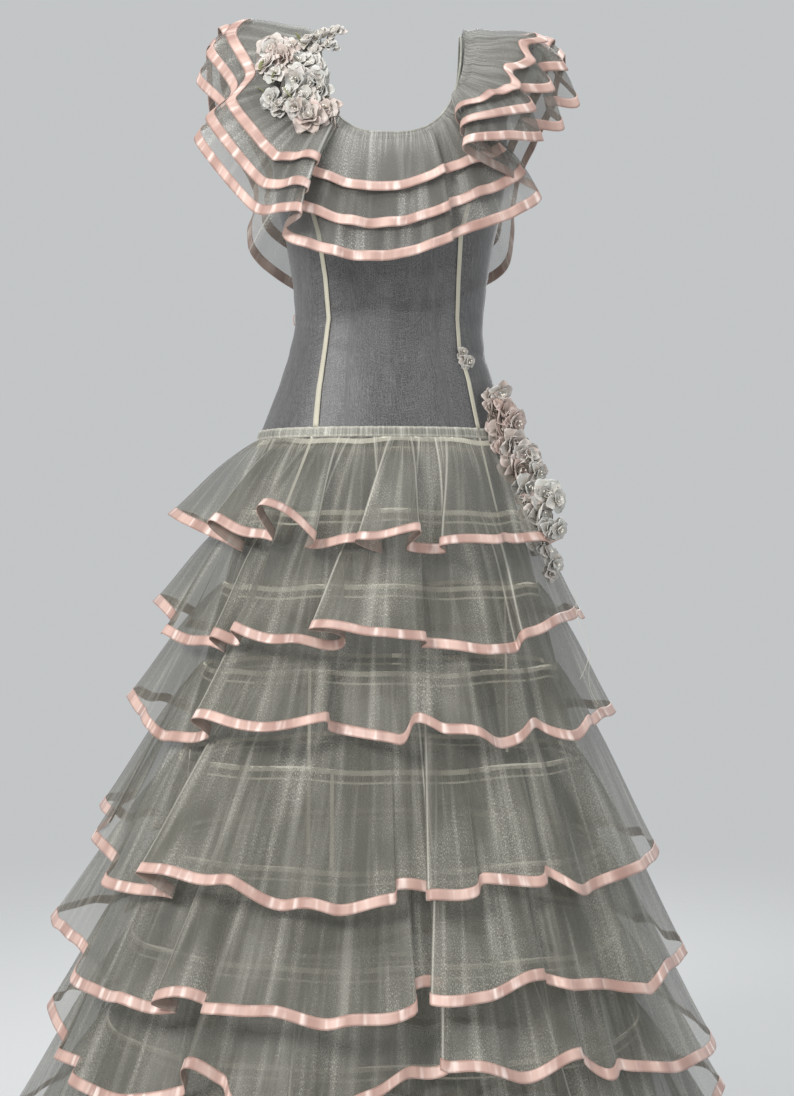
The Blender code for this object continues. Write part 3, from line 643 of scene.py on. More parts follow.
# Small rounded dashes at a pitch along an edge, turned to follow it.
STITCHES = shape_tree(
    "stitch_row",
    ("Pitch", "Length", "Thickness"),
    {
        "path": ("GeometryNodeMeshToCurve", {}, {}),
        "spaced": ("GeometryNodeCurveToPoints", {"mode": "LENGTH"}, {}),
        "dash": ("GeometryNodeMeshUVSphere", {}, {"Segments": 5, "Rings": 4, "Radius": 0.5}),
        "size": ("ShaderNodeCombineXYZ", {}, {}),
        "shaped": ("GeometryNodeTransform", {}, {}),
    },
    (
        ("given", "Geometry", "path", "Mesh"),
        ("path", "Curve", "spaced", "Curve"),
        ("given", "Pitch", "spaced", "Length"),
        ("given", "Thickness", "size", "X"),
        ("given", "Thickness", "size", "Y"),
        ("given", "Length", "size", "Z"),
        ("dash", "Mesh", "shaped", "Geometry"),
        ("size", "Vector", "shaped", "Scale"),
        ("spaced", "Points", "placed", "Points"),
        ("spaced", "Rotation", "placed", "Rotation"),
        ("shaped", "Geometry", "placed", "Instance"),
    ),
)
thread = Finish("sewing_thread", 0.5, 0.4)
thread.feed("Base Color", (0.66, 0.63, 0.52, 1))


def stitch_rows(name, runs, pitch, length, thick):
    """Rows of stitches along open runs of points."""
    points = []
    edges = []
    for run in runs:
        first = len(points)
        points += list(run)
        edges += [(at, at + 1) for at in range(first, len(points) - 1)]
    sizes = {"Pitch": pitch, "Length": length, "Thickness": thick}
    repeat_shape(name, points, edges, STITCHES, sizes, thread, "tape")


tapes = []
heights = np.linspace(TAPE_TOP, BAND_TOP, 60)[:, None]
half_turn = TAPE_WIDTH / 2 / MEAN_RADIUS
turns = np.linspace(-half_turn, half_turn, 5)[None, :]
for hand, side in ((-1, "left"), (1, "right")):
    middle = hand * princess_angle(heights) + seam_drift(heights)
    grid = strip_on_ring(middle + turns, heights, TAPE_LIFT)
    tapes.append(cloth(f"princess_tape_{side}", grid, tape_cloth, wall=0.0005))
    sew_in(tapes[-1], "tape", f"seam_tape_{side}")
    lifted = grid + outward(grid) * 0.0004
    runs = [lifted[:, 1] * 0.85 + lifted[:, 0] * 0.15, lifted[:, 3]]
    stitch_rows(f"tape_stitches_{side}", runs, *TAPE_STITCHES)

# Hip band and underskirt
# A stitched casing joins bodice and skirt at the hip. Under the flounces hangs a plain sheer skirt
# in gores; the cream edges of its seams and of the flounces' headings show through the cloth.
BAND_HEIGHT = 0.012
BAND_ROWS = 7
BAND_PLEATS = ((0.0005, 61, 0), (0.0004, 97, 1))
BAND_ROLL = 0.0012
SHEER_TONE = (0.128, 0.124, 0.098, 1)
# The pale colour that the organza turns to in its painted highlights.
SHEER_GLINT_COLOUR = (0.68, 0.66, 0.58, 1)
UNDERSKIRT_HEM = -1.375
UNDERSKIRT_WAVE = 0.0016
SKIRT_INSET = 0.0012


# Each organza's pale colour is the colour of its painted highlights.
def organza(name, cover, tone=SHEER_TONE, pale=SHEER_GLINT_COLOUR, folds=True):
    """Sheer crinkled organza with fine threads and painted highlights: pale glints that run down the cloth and, on
    folded cloth, bright creases along its fold ridges and whitish crinkles just below its seam.
    """
    made = Finish(name, 0.4, 0.5, 0.1)
    place = made.spot()
    fine = made.noise(place, (1100, 800, 1), 1.0)
    sheen_streaks = made.step(made.noise(place, (60, 4, 1), 3.0), 0.44, 0.74)
    glint_patches = made.step(made.noise(place, (11, 6, 1), 2.0), 0.42, 0.66)
    sparks = made.step(made.noise(place, (1000, 420, 1), 2.0, 0.7), 0.48, 0.70)
    # Painted highlight: glints, sparkles and sheen streaks that run down the cloth turn its colour paler and its cloth
    # a little thicker.
    glint = glint_patches * 0.12 + sheen_streaks * 0.26 + glint_patches * sparks * 0.55 + sheen_streaks * sparks * 0.50
    if folds:
        # Painted highlight: a bright line along each fold ridge, and whitish crinkles just below the seam.
        crease_highlight = 1 - made.step(made.field("to_crease"), 0.0003, 0.0020)
        glint = glint + crease_highlight * 0.52
        drop = made.node("SeparateXYZ", {}, {0: place}, 1)
        gather_highlights = made.step(made.noise(place, (330, 9, 1), 2.0), 0.45, 0.66)
        glint = glint + gather_highlights * (1 - made.step(drop, 0.004, 0.06)) * 0.4
    made.feed("Base Color", made.blend(glint, tone, pale))
    made.feed("Alpha", glint * 0.32 + fine * 0.12 + cover)
    made.feed("Roughness", fine * 0.25 + 0.28)
    made.bump(sparks * 0.35 + sheen_streaks * 0.8 + fine * 0.3, 0.4, 0.0014)
    return made


def edge_distance(width, count):
    """How far each of a strip's rows lies from its nearer edge."""
    down = np.linspace(0, width, count)
    return np.minimum(down, width - down)[:, None]


underskirt_cloth = organza("underskirt_organza", 0.40, folds=False)
band_cloth = organza("band_organza", 0.62, (0.25, 0.245, 0.21, 1), (0.74, 0.72, 0.64, 1))

band_angles = np.linspace(0, 2 * math.pi, 240, endpoint=False)[None, :]
band_heights = np.linspace(BAND_TOP, BAND_TOP - BAND_HEIGHT, BAND_ROWS)[:, None]
gather = sum(height * np.sin(band_angles * count + start) for height, count, start in BAND_PLEATS)
roll = BAND_ROLL * np.sin(np.linspace(0, math.pi, BAND_ROWS))[:, None]
band_lift = (0.0010 + gather + roll)[..., None]
band_grid = strip_on_ring(band_angles, band_heights, band_lift, True)
# Painted highlight: a bright line along the casing's top and bottom edges.
band_fields = {"to_crease": edge_distance(BAND_HEIGHT, BAND_ROWS) * 0.5}
band = cloth("hip_casing", band_grid, band_cloth, True, band_fields, wall=0.0006)
sew_in(band, "organza", "hip_band")
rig.sheet(band, held="gathered", rests_on=["underskirt_front"], **cut(band_grid, True))
band_face = wrapped(band_grid + outward(band_grid, True) * 0.0005, True)
stitch_rows("hip_casing_stitches", band_face[1::4], *BAND_STITCHES)

reach = math.pi / 2 - 0.001
heights = np.linspace(BAND_TOP - BAND_HEIGHT - 0.0003, UNDERSKIRT_HEM, 130)[:, None]
fall = np.clip((BAND_TOP - heights) / 0.25, 0, 1)
for name, middle in (("front", 0.0), ("back", math.pi)):
    angles = np.linspace(middle - reach, middle + reach, 120)[None, :]
    wave = np.sin(angles * 17 + 2 * middle) + 0.6 * np.sin(angles * 29 + 1.3)
    grid = strip_on_ring(angles, heights, (wave * fall * UNDERSKIRT_WAVE - SKIRT_INSET)[..., None])
    skirt = cloth(f"underskirt_{name}_gores", grid, underskirt_cloth)
    sew_in(skirt, "organza", f"underskirt_{name}")
    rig.sheet(skirt, held="hung", rests_on=["hip_band"], **cut(grid))

# Flounces
# Eight flounces of crinkled organza, each a long strip gathered along its top and sewn round the
# underskirt, falling free in deep turned folds over the flounce below.

# Each flounce, in centimetres: its seam's and its hem's depth below the shoulder line, the hem's
# half width and shift to the viewer's right, and its depth in front and behind.
TIERS = [
    (48.65, 61.3, 21.2, -2.4, 18.5, 19.3),
    (57, 71.8, 23.8, -1.6, 22, 22.8),
    (65.5, 81.8, 27, -1.2, 24.6, 25.2),
    (75, 98, 32, -1, 30, 30.6),
    (85.5, 108.5, 36.6, -2.2, 32.8, 33.4),
    (96, 117, 37, -2.2, 34.8, 35.4),
    (106, 128.5, 41.5, -3.6, 37.4, 38),
    (116, 139.2, 44, -3.8, 39.4, 40),
]
# The turning points of each hem's front from the viewer's left to right, in centimetres: across,
# ahead of the plain hem, and below the shoulder line.
TIER_TURNS = [
    [
        (-25.4, 0, 57.5), (-15.6, -1.3, 61.8), (-19.3, 2.2, 58.7), (-12.2, 0, 60.9),
        (-13.3, 2.6, 56.9), (-7.6, 0.6, 60.5), (-8.6, -1.3, 61.2), (-1, -1, 61.7),
        (-3.5, 1.7, 60.9), (2.6, 0.9, 59.9), (1.4, -1.2, 61.7), (5.2, -1, 62),
        (4.8, 1.2, 61.2), (10.8, 0.6, 60.9), (11.6, -1.2, 60.8), (16.2, 0.4, 60.8),
        (18.9, 0, 60.2),
    ],
    [
        (-26.7, 0, 67.8), (-23, -0.8, 70.1), (-23.8, 1.8, 71.4), (-16.3, -1, 72.8),
        (-17.6, 1.2, 71), (-14.6, -1, 72.4), (-15.2, 1.8, 70.5), (-8.9, 1, 72.2),
        (-4.4, -0.8, 71.7), (-8.1, 2.4, 70), (-2.1, 2.4, 70.9), (3.6, 0.6, 71.5),
        (3.2, -1.3, 72.3), (10.5, 1, 73), (13, -1, 72.8), (13.6, 1.2, 71.8),
        (17.7, 1, 70.1), (21.4, -0.8, 69.6), (23.2, 0, 69.6),
    ],
    [
        (-29.6, 0, 79.2), (-24.4, 1, 82), (-22.6, -1.4, 83), (-17.5, -1.4, 82.3),
        (-19.3, 1.8, 79.8), (-12.5, 2, 81.1), (-6.6, 0.8, 79.8), (-6, -1.5, 81.3),
        (1.1, 1, 82.2), (2.6, -1.2, 80.5), (5, -0.6, 80.9), (10.2, 1.6, 82.3),
        (13.4, -0.2, 82.7), (15.7, -1.4, 81.5), (20.1, 1.4, 82.7), (22.9, -0.8, 81.5),
        (26.8, 0, 81),
    ],
    [
        (-34, 0, 92.3), (-30.6, -1.2, 92.8), (-32.2, 1.6, 94.8), (-27.4, -1.2, 96.6),
        (-28.2, 1.6, 98.4), (-20.3, -1.3, 98.6), (-24, 2.6, 95.8), (-15, 2.2, 96.8),
        (-9.9, 1.2, 98.8), (-5.8, 2, 98.9), (0.6, 0.4, 98.1), (0.6, -1.2, 97.2),
        (4.4, -0.9, 97.2), (3.8, 1.3, 97.8), (8.7, 0.8, 97.5), (9.3, -1.2, 96.8),
        (15.6, 0.6, 97), (16.2, -1.2, 96.4), (19.4, 1, 98.4), (21.2, -1.1, 98.4),
        (27.4, 0.8, 97.4), (31.6, 0, 97.5),
    ],
    [
        (-40.4, 0, 105.6), (-32.8, -1, 106.8), (-33.6, 2, 109), (-26.2, 1.8, 109.2),
        (-20.2, -1.2, 109.9), (-22.8, 1.4, 107.8), (-17.4, -0.9, 108.8), (-17.9, 1.4, 108.6),
        (-10.7, 1.8, 109), (-4.8, 2.2, 109.6), (2.4, 0.8, 108.9), (2.4, -1.4, 106.8),
        (5.6, -1.3, 106.8), (4, 1, 107.9), (9.2, 1.6, 107.6), (15.4, 0, 106.1),
        (15.9, -1.3, 107.3), (18, 1.1, 107.4), (21.5, 0.8, 107.9), (22.2, -1.2, 108.8),
        (27.3, 1.4, 109.6), (30, -0.9, 109), (34.9, 0, 109.4),
    ],
    [
        (-38.6, 0, 114.6), (-35.2, -1.1, 116.9), (-36, 1.8, 118), (-32.4, -1.1, 118.4),
        (-33.2, 1.8, 119.4), (-26.9, 1.6, 119.6), (-20.2, -1.2, 118), (-19.9, 1.3, 114.6),
        (-16.4, -0.9, 116.6), (-15.4, 1.6, 118), (-8, 2.2, 118.4), (-1.6, 0.8, 117),
        (2.6, -1.2, 115.4), (5.9, -1, 115.3), (5.4, 1.3, 113.8), (12.7, 1.8, 115.6),
        (19.2, 0.6, 114.6), (19.7, -1.2, 115.6), (22.6, 1, 117.2), (23.6, -1.1, 117),
        (28.9, 1.2, 118.4), (34.4, 0, 119.4),
    ],
]
# The last two flounces follow earlier hems, turned left to right.
TURNS_AGAIN = {6: 4, 7: 3}
COLUMN_STEP = 0.0062
CLOTH_ROWS = 26
RIBBON_ROWS = 4
RIBBON_WIDTH = 0.0127
RIBBON_LIFT = 0.0005
TIER_CLEARANCE = 0.007
HEM_MARGIN = 0.04
CLEAR_ANGLE = math.radians(9)
CLEAR_REACH = 0.12
GATHER_REACH = 0.10
SEAM_LIFT = 0.0022
# Lengths of hem to one pleat: deep pleats, small ones, fine ones at the seam, and the hem's rise.
PLEATS = ((0.125, 0.092, 0.068), (0.049, 0.038), (0.026, 0.020, 0.015), (0.085, 0.055))
DEEP_HEIGHT = 0.0085
SMALL_HEIGHT = 0.0024
FINE_HEIGHT = 0.0020
BELLY = 0.009


def through(points, step):
    """A closed smooth run through turning points; also which of its points are the turns."""
    after = np.roll(points, -1, axis=0)
    ahead = np.linalg.norm((after - points)[:, :3], axis=1)
    lean = slopes(points, 0, True)
    lean /= np.maximum(np.linalg.norm(lean[:, :3], axis=1, keepdims=True), 1e-6)
    slope = lean * np.minimum(ahead, np.roll(ahead, 1))[:, None] * 0.9
    found = []
    turns = []
    ends = zip(points, after, slope, np.roll(slope, -1, axis=0))
    for row, (start, end, near, far) in enumerate(ends):
        count = max(2, math.ceil(ahead[row] / step))
        turns.append(sum(len(part) for part in found))
        at = (np.arange(count) / count)[:, None]
        rest = 1 - at
        found.append(
            start * (1 + 2 * at) * rest ** 2 + near * at * rest ** 2
            + end * at ** 2 * (3 - 2 * at) - far * at ** 2 * rest
        )
    return np.concatenate(found), np.array(turns)


def hem_turns(number):
    """The hem's turning points all round: the front's from its table, the back's turned about."""
    _, hem, half, shift, front, back = TIERS[number]
    source = TURNS_AGAIN.get(number, number)
    _, source_hem, source_half, source_shift, _, _ = TIERS[source]
    way = 1 if number == source else -1
    rows = TIER_TURNS[source]
    turns = []
    for side, depth, stretch in ((-1, front, rows), (1, back, rows[-2:0:-1])):
        for across, ahead, below in stretch[::way]:
            share = way * (across - source_shift) / source_half
            out = depth * math.sqrt(max(0.0, 1 - share * share)) + ahead
            turns.append((shift + share * half, side * out, source_hem - below - hem))
    return np.array(turns) * CM


def around(values, reach):
    """A closed run of values, each replaced by its neighbours' mean."""
    ends = np.concatenate([values[-reach:], values, values[:reach]])
    return np.convolve(ends, np.ones(2 * reach + 1) / (2 * reach + 1), "valid")


def seam_angles(turned, reach):
    """Where each column of cloth leaves its seam: its hem's own turn, evened and never going back."""
    full = 2 * math.pi
    steady = np.arange(len(turned)) * full / len(turned)
    steady += np.mean(turned - steady)
    evened = steady + around(turned - steady, reach)
    return evened * 0.8 + steady * 0.2


def clear_of(hem, lower, shift):
    """The hem moved out, as a whole stretch, where the flounce below would stand through it."""
    low_turn = np.arctan2(lower[..., 0] - shift, -lower[..., 1])
    low_reach = np.hypot(lower[..., 0] - shift, lower[..., 1])
    needed = np.ones(len(hem))
    for column, spot in enumerate(hem):
        share = (lower[0, :, 2] - spot[2]) / (lower[0, :, 2] - lower[1, :, 2])
        share = np.clip(share + HEM_MARGIN, 0, 1)
        reach = low_reach[0] + (low_reach[1] - low_reach[0]) * share
        turn = math.atan2(spot[0] - shift, -spot[1])
        apart = (low_turn[1] - turn + math.pi) % (2 * math.pi) - math.pi
        near = reach[np.abs(apart) < CLEAR_ANGLE]
        here = math.hypot(spot[0] - shift, spot[1])
        needed[column] = max(1.0, (near.max(initial=0.0) + TIER_CLEARANCE) / here)
    reach = round(CLEAR_REACH / COLUMN_STEP)
    widest = np.max([np.roll(needed, turn) for turn in range(-reach, reach + 1)], axis=0)
    scale = around(widest, reach)[:, None]
    centre = np.array((shift, 0, 0))
    return (hem - centre) * np.concatenate([scale, scale, scale * 0 + 1], axis=1) + centre


def waves(share, counts, seed):
    """Soft pleats round a closed piece, from a few whole numbers of waves."""
    chance = np.random.default_rng(seed)
    found = 0 * share
    for count in counts:
        height = chance.uniform(0.6, 1.0)
        found = found + height * np.sin(2 * math.pi * (count * share + chance.random()))
    swell = 0.75 + 0.5 * np.sin(2 * math.pi * (3 * share + chance.random()))
    return found * swell / math.sqrt(2 * len(counts))


def to_creases(grid, turns, turned):
    """How far each point lies along its row from the nearest fold, where the cloth turns back."""
    ways = turned[turns]
    ahead = (np.roll(ways, -1) - ways + math.pi) % (2 * math.pi) - math.pi
    behind = (ways - np.roll(ways, 1) + math.pi) % (2 * math.pi) - math.pi
    turns = turns[ahead * behind < 0]
    along = lengths(wrapped(grid, True), 1)
    total = along[:, -1:]
    along = along[:, :-1]
    apart = np.abs(along[:, :, None] - along[:, None, turns])
    return np.minimum(apart, total[:, :, None] - apart).min(axis=2)


def rows_down(run, count, crowding):
    """How far down each row lies: the cloth's rows, close at the seam, then its ribbon's rows."""
    ribbon = RIBBON_WIDTH / run
    return np.concatenate([
        np.linspace(0, 1, count)[:, None] ** crowding * (1 - ribbon),
        1 - ribbon + ribbon * np.linspace(0, 1, RIBBON_ROWS + 1)[1:, None],
    ])


def flounce_grid(number, lower):
    """One flounce's points, row by row down to its ribbon; and its plain edges."""
    hem, turns = through(hem_turns(number), COLUMN_STEP)
    seam_z = -TIERS[number][0] * CM
    shift = TIERS[number][3] * CM
    if lower is not None:
        hem = clear_of(hem, lower, shift)
    turned = np.unwrap(np.arctan2(hem[:, 0] - shift, -hem[:, 1]))
    angles = seam_angles(turned, round(GATHER_REACH / COLUMN_STEP))
    seam = ring_point(angles, seam_z)
    seam = seam + unit((seam - (ring_sizes(seam_z)[1], 0, 0)) * (1, 1, 0)) * SEAM_LIFT
    run = np.linalg.norm(hem - seam, axis=1)
    down = rows_down(run, CLOTH_ROWS, 1.15)
    fall = (hem - seam) / run[:, None]
    out = unit((hem - (shift, 0, 0)) * (1, 1, 0))
    out = unit(out - fall * np.sum(out * fall, axis=1, keepdims=True))
    share = np.arange(len(hem)) / len(hem)
    size = len(hem) * COLUMN_STEP
    deep, small, fine, rise = (
        waves(share, [round(size / wide) for wide in widths], number + seed)
        for widths, seed in zip(PLEATS, (0, 10, 20, 40))
    )
    frontal = 0.35 + 0.65 * out[:, 1] ** 2
    push = DEEP_HEIGHT * (deep + 0.6) * frontal * (0.25 + 0.75 * down ** 0.6)
    push = push + SMALL_HEIGHT * small * frontal * (1 - 0.5 * down)
    push = push + FINE_HEIGHT * fine * np.exp(-5 * down)
    push = push + BELLY * np.sin(math.pi * down) * (1 - down)
    grid = seam + (hem - seam) * down[..., None] + out * push[..., None]
    grid[..., 2] += (0.0022 * rise + 0.0025 * deep) * down ** 2
    return grid, to_creases(grid, turns, turned), np.array([seam, hem])


flounce_cloth = organza("flounce_organza", 0.42)
satin = Finish("ribbon_satin", 0.3, 0.6, 0.1)
place = satin.spot()
# Painted shade and light: the satin turns darker and lighter in bands along the ribbon, as its folds would be shaded
# and lit.
tone = satin.step(satin.noise(place, (26, 3, 1), 3.0), 0.35, 0.68)
# Painted highlight: glossy bands turn the satin's colour to a pale highlight, and are also less rough.
gloss_and_painted_highlight = satin.step(satin.noise(place, (75, 14, 1), 2.0), 0.5, 0.72)
pucker = satin.noise(place, (260, 60, 1), 2.0)
satin_rim = 1 - satin.step(satin.field("from_edge"), 0.0005, 0.0013)
satin_painted_light = satin.blend(tone, (0.34, 0.195, 0.160, 1), (0.64, 0.445, 0.380, 1))
satin_painted_light = satin.blend(gloss_and_painted_highlight * 0.85, satin_painted_light, (0.92, 0.79, 0.73, 1))
# Painted light: the satin glows faintly, though it is no lamp, so that its shaded undersides show lighter through the
# cloth.
satin.feed("Emission Color", (0.62, 0.43, 0.37, 1))
satin.feed("Emission Strength", 0.10)
satin.feed("Base Color", satin.blend(satin_rim * 0.5, satin_painted_light, (0.36, 0.21, 0.17, 1)))
satin.feed("Roughness", 0.42 - gloss_and_painted_highlight * 0.14)
satin.bump(pucker * 0.7 + satin_rim * -1.0, 0.4, 0.0008)


def gathered(name, node, grid, creases, finish, ribbon_name, ribbon_node, rests_on):
    """A gathered layer of cloth, closed all round, and the satin ribbon folded over its hem: the
    last rows of the cloth, moved out and given a wall."""
    piece = cloth(name, grid, finish, True, {"to_crease": creases})
    sew_in(piece, "organza", node)
    rows = grid[-RIBBON_ROWS - 1:]
    rows = rows + outward(rows, True) * RIBBON_LIFT
    fields = {"from_edge": edge_distance(RIBBON_WIDTH, RIBBON_ROWS + 1)}
    ribbon = cloth(ribbon_name, rows, satin, True, fields, wall=0.0006)
    sew_in(ribbon, "ribbon", ribbon_node)
    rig.sheet(ribbon, held="hung", rests_on=[piece], **cut(rows, True))
    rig.sheet(piece, held="gathered", rests_on=[rests_on], **cut(grid, True))


lower = None
for number in reversed(range(len(TIERS))):
    grid, creases, lower = flounce_grid(number, lower)
    gathered(
        f"flounce_{number + 1}", f"tier_{number + 1}", grid, creases, flounce_cloth,
        f"hem_ribbon_{number + 1}", f"ribbon_{number + 1}", "underskirt_front",
    )

# Flounce headings and gore seams
# Where each flounce is sewn to the underskirt its heading is turned and stitched twice; the gores
# of the underskirt are joined by narrow cream seams. Both show through as pale lines, made to
# glow faintly as painted light.

# A heading's strips: how far below its seam each starts, and its height.
HEADING_STRIPS = ((0.0, 0.0056), (0.0125, 0.0022))
HEADING_CREAM = (0.90, 0.86, 0.72, 1)
# The lower seams, each across, top and bottom in centimetres. The seams under the first flounce,
# each its turn from centre front and how far it leans on its way down, in degrees.
LOWER_SEAMS = ((-8.7, 75.0, 94.5), (-22.4, 84.5, 91.0), (-6.2, 86.0, 96.5), (12.5, 66.0, 84.0))
UPPER_SEAMS = ((-30, -12), (50, 2))
UPPER_SEAM_END = -0.602
GORE_LIFT = 0.0009

heading_angles = np.linspace(0, 2 * math.pi, 300, endpoint=False)
heading_grids = []
for number, (seam, *_) in enumerate(TIERS):
    drop = 0.0016 * np.sin(heading_angles * 5 + number) + 0.001 * np.sin(heading_angles * 13)
    # The hip band hides the second strip of the first heading.
    for below, tall in HEADING_STRIPS if number else HEADING_STRIPS[:1]:
        heights = -seam * CM - below + drop - tall * np.array((0, 0.5, 1))[:, None]
        heading_grids.append(strip_on_ring(heading_angles, heights, 0.0008, True))


def joined_cloth(name, grids, finish, closed):
    """Several strips of one cloth as a single piece."""
    parts = [cloth(f"{name}_{at}", grid, finish, closed) for at, grid in enumerate(grids)]
    with bpy.context.temp_override(active_object=parts[0], selected_editable_objects=parts):
        bpy.ops.object.join()
    parts[0].name = name
    sew_in(parts[0], "tape")


glowing_heading_cloth = Finish("heading_edge", 0.6, 0.4)
place = glowing_heading_cloth.spot()
heading_gaps = glowing_heading_cloth.step(glowing_heading_cloth.noise(place, (9, 1, 1), 2.0), 0.36, 0.55)
glowing_heading_cloth.feed("Base Color", HEADING_CREAM)
# Painted light: the cream edges glow, though no lamp is there, so that they show through the cloth.
glowing_heading_cloth.feed("Emission Color", HEADING_CREAM)
glowing_heading_cloth.feed("Emission Strength", 0.42)
glowing_heading_cloth.feed("Alpha", heading_gaps * 0.75 + 0.25)
joined_cloth("flounce_headings", heading_grids, glowing_heading_cloth, True)
gore_grids = []
turns = np.linspace(-0.008, 0.008, 3)[None, :]
for across, top, bottom in LOWER_SEAMS:
    heights = -np.linspace(top, bottom, 30)[:, None] * CM
    half, shift, _, _ = ring_sizes(heights)
    middle = np.arcsin(np.clip((across * CM - shift) / half, -0.99, 0.99))
    gore_grids.append(strip_on_ring(middle + turns, heights, GORE_LIFT))
turns = np.linspace(-0.012, 0.012, 3)[None, :]
heights = np.linspace(BAND_TOP - 0.004, UPPER_SEAM_END, 30)[:, None]
share = (heights - heights[0]) / (heights[-1] - heights[0])
for start, lean in UPPER_SEAMS:
    gore_grids.append(strip_on_ring(np.radians(start + lean * share) + turns, heights, GORE_LIFT))
joined_cloth("gore_seams", gore_grids, glowing_heading_cloth, False)

# Collar
# A bertha of three organza layers, longest underneath, gathered into the neck seam and edged with
# the same satin ribbon. It stands up over the shoulders in turned folds and hangs behind.

# Where the longest layer's hem turns. Each row: the turn round the neck in degrees; the hem's
# place across, behind and above the shoulder line, in centimetres; how far down that layer the
# middle and the upper layer reach, as shares; how high the cloth arches over the shoulder, in metres.
COLLAR_TURNS = [
    (-152, -11.8, 16.0, -28.5, 0.80, 0.58, 0.04),
    (-136, -17.8, 11.4, -23.8, 0.82, 0.62, 0.05),
    (-124, -17.6, 14.6, -15.6, 0.83, 0.64, 0.08),
    (-108, -22.2, 6.4, -7.6, 0.85, 0.67, 0.16),
    (-99, -22.2, 3.0, -0.4, 0.86, 0.67, 0.20),
    (-90, -21.2, -0.2, -3.0, 0.86, 0.68, 0.19),
    (-82, -23.0, -2.2, -6.0, 0.86, 0.68, 0.24),
    (-70, -19.4, -5.4, -10.6, 0.86, 0.68, 0.16),
    (-64, -22.8, -6.4, -13.8, 0.86, 0.68, 0.10),
    (-50, -15.4, -13.2, -23.4, 0.84, 0.64, 0.05),
    (-40, -9.8, -18.4, -24.4, 0.80, 0.56, 0.02),
    (-36, -12.0, -15.4, -26.4, 0.78, 0.53, 0.02),
    (-28, -8.4, -16.6, -28.2, 0.77, 0.51, 0.01),
    (-18, -5.4, -17.2, -29.2, 0.77, 0.51, 0.0),
    (-8, -2.4, -17.6, -29.6, 0.77, 0.51, 0.0),
    (4, 0.6, -17.7, -29.5, 0.77, 0.51, 0.0),
    (14, 3.2, -17.5, -28.8, 0.77, 0.50, 0.0),
    (24, 6.9, -17.2, -27.4, 0.77, 0.48, 0.01),
    (31, 6.3, -14.8, -27.0, 0.77, 0.50, 0.01),
    (38, 10.4, -15.0, -25.6, 0.78, 0.52, 0.02),
    (44, 14.6, -12.4, -23.6, 0.79, 0.55, 0.03),
    (50, 17.2, -9.4, -20.6, 0.80, 0.58, 0.06),
    (57, 8.2, -16.2, -17.0, 0.84, 0.64, 0.07),
    (63, 12.6, -14.6, -15.6, 0.83, 0.62, 0.10),
    (70, 17.6, -9.6, -14.6, 0.83, 0.62, 0.16),
    (76, 15.6, -6.4, -12.4, 0.84, 0.66, 0.22),
    (80, 20.4, -4.6, -12.2, 0.84, 0.62, 0.26),
    (84, 18.6, -2.2, -9.0, 0.86, 0.66, 0.28),
    (88, 22.6, -1.4, -8.6, 0.85, 0.64, 0.26),
    (93, 20.2, 1.4, -4.6, 0.85, 0.67, 0.20),
    (99, 21.4, 3.4, -1.4, 0.85, 0.67, 0.16),
    (108, 20.2, 7.0, -7.0, 0.85, 0.67, 0.22),
    (122, 16.4, 13.8, -15.0, 0.83, 0.64, 0.12),
    (138, 15.0, 12.0, -25.6, 0.82, 0.62, 0.05),
    (154, 9.8, 16.4, -28.6, 0.80, 0.58, 0.04),
    (168, 4.6, 14.2, -31.0, 0.80, 0.56, 0.03),
    (182, -2.2, 16.8, -30.4, 0.80, 0.56, 0.03),
    (196, -6.8, 14.0, -31.2, 0.80, 0.56, 0.03),
]
COLLAR_LIFT = 0.0016
SHOULDER_LIFT = 0.005
LAYER_LIFT = 0.0050
COLLAR_SWELL = 0.03
COLLAR_ROWS = 22
COLLAR_STEP = 0.0055
# Whole numbers of waves round the collar: its ripples, and its fine gathers at the neck.
RIPPLES = (34, 47, 61)
RIPPLE_HEIGHT = 0.0022
NECK_GATHERS = (88, 113, 141)
GATHER_HEIGHT = 0.0011
BODY_TOP = -0.004


def neckline(degrees):
    """The neck edge and the way out from the cloth there, for turns of -180 to 180 degrees."""
    degrees = (degrees + 180) % 360 - 180
    angle, z = neck_spot(np.abs(degrees))
    angle = np.copysign(angle, degrees)
    along = ring_point(angle + 0.01, z) - ring_point(angle - 0.01, z)
    down = ring_point(angle, z - 0.002) - ring_point(angle, np.minimum(0.0, z + 0.002))
    return ring_point(angle, z), unit(np.cross(down, along))


def off_body(grid, gap):
    """The cloth moved out to the gown's inner shape, with a gap, where it would sink into it."""
    z = np.minimum(grid[..., 2], BODY_TOP)
    half, shift, front, back = ring_sizes(z)
    across = grid[..., 0] - shift
    ahead = -grid[..., 1]
    depth = np.where(ahead > 0, front, back)
    body = ring_point(np.arctan2(across / half, ahead / depth), z)
    short = (np.hypot(body[..., 0] - shift, body[..., 1]) + gap) / np.hypot(across, ahead)
    scale = np.where(grid[..., 2] < BODY_TOP, np.maximum(1.0, short), 1.0)
    return np.stack([shift + across * scale, -ahead * scale, grid[..., 2]], axis=-1)


turns_table = np.array(COLLAR_TURNS, dtype=float)
turns_table[:, 1:4] *= CM
turn_way = np.unwrap(np.radians(turns_table[:, 0]))
spread = np.column_stack([turns_table[:, 1:], np.cos(turn_way), np.sin(turn_way)])
columns, collar_turns = through(spread, COLLAR_STEP)
hem, middle_reach, upper_reach, arch, *ways = np.split(columns, (3, 4, 5, 6, 7), axis=1)
turn = np.arctan2(ways[1], ways[0])[:, 0]
neck, way_out = neckline(np.degrees(turn))
start = neck + way_out * (COLLAR_LIFT + SHOULDER_LIFT * (neck[:, :1] / NECK_HALF_WIDTH) ** 6)
swell = np.column_stack([np.sin(turn), -np.cos(turn), 0 * turn]) * COLLAR_SWELL
upward = arch * np.array((0, 0, 1.0))
collar_cloth = organza("collar_organza", 0.36, (0.150, 0.145, 0.124, 1), (0.70, 0.69, 0.64, 1))
share = np.arange(len(hem)) / len(hem)
reaches = {"lower": np.ones_like(arch), "middle": middle_reach, "upper": upper_reach}
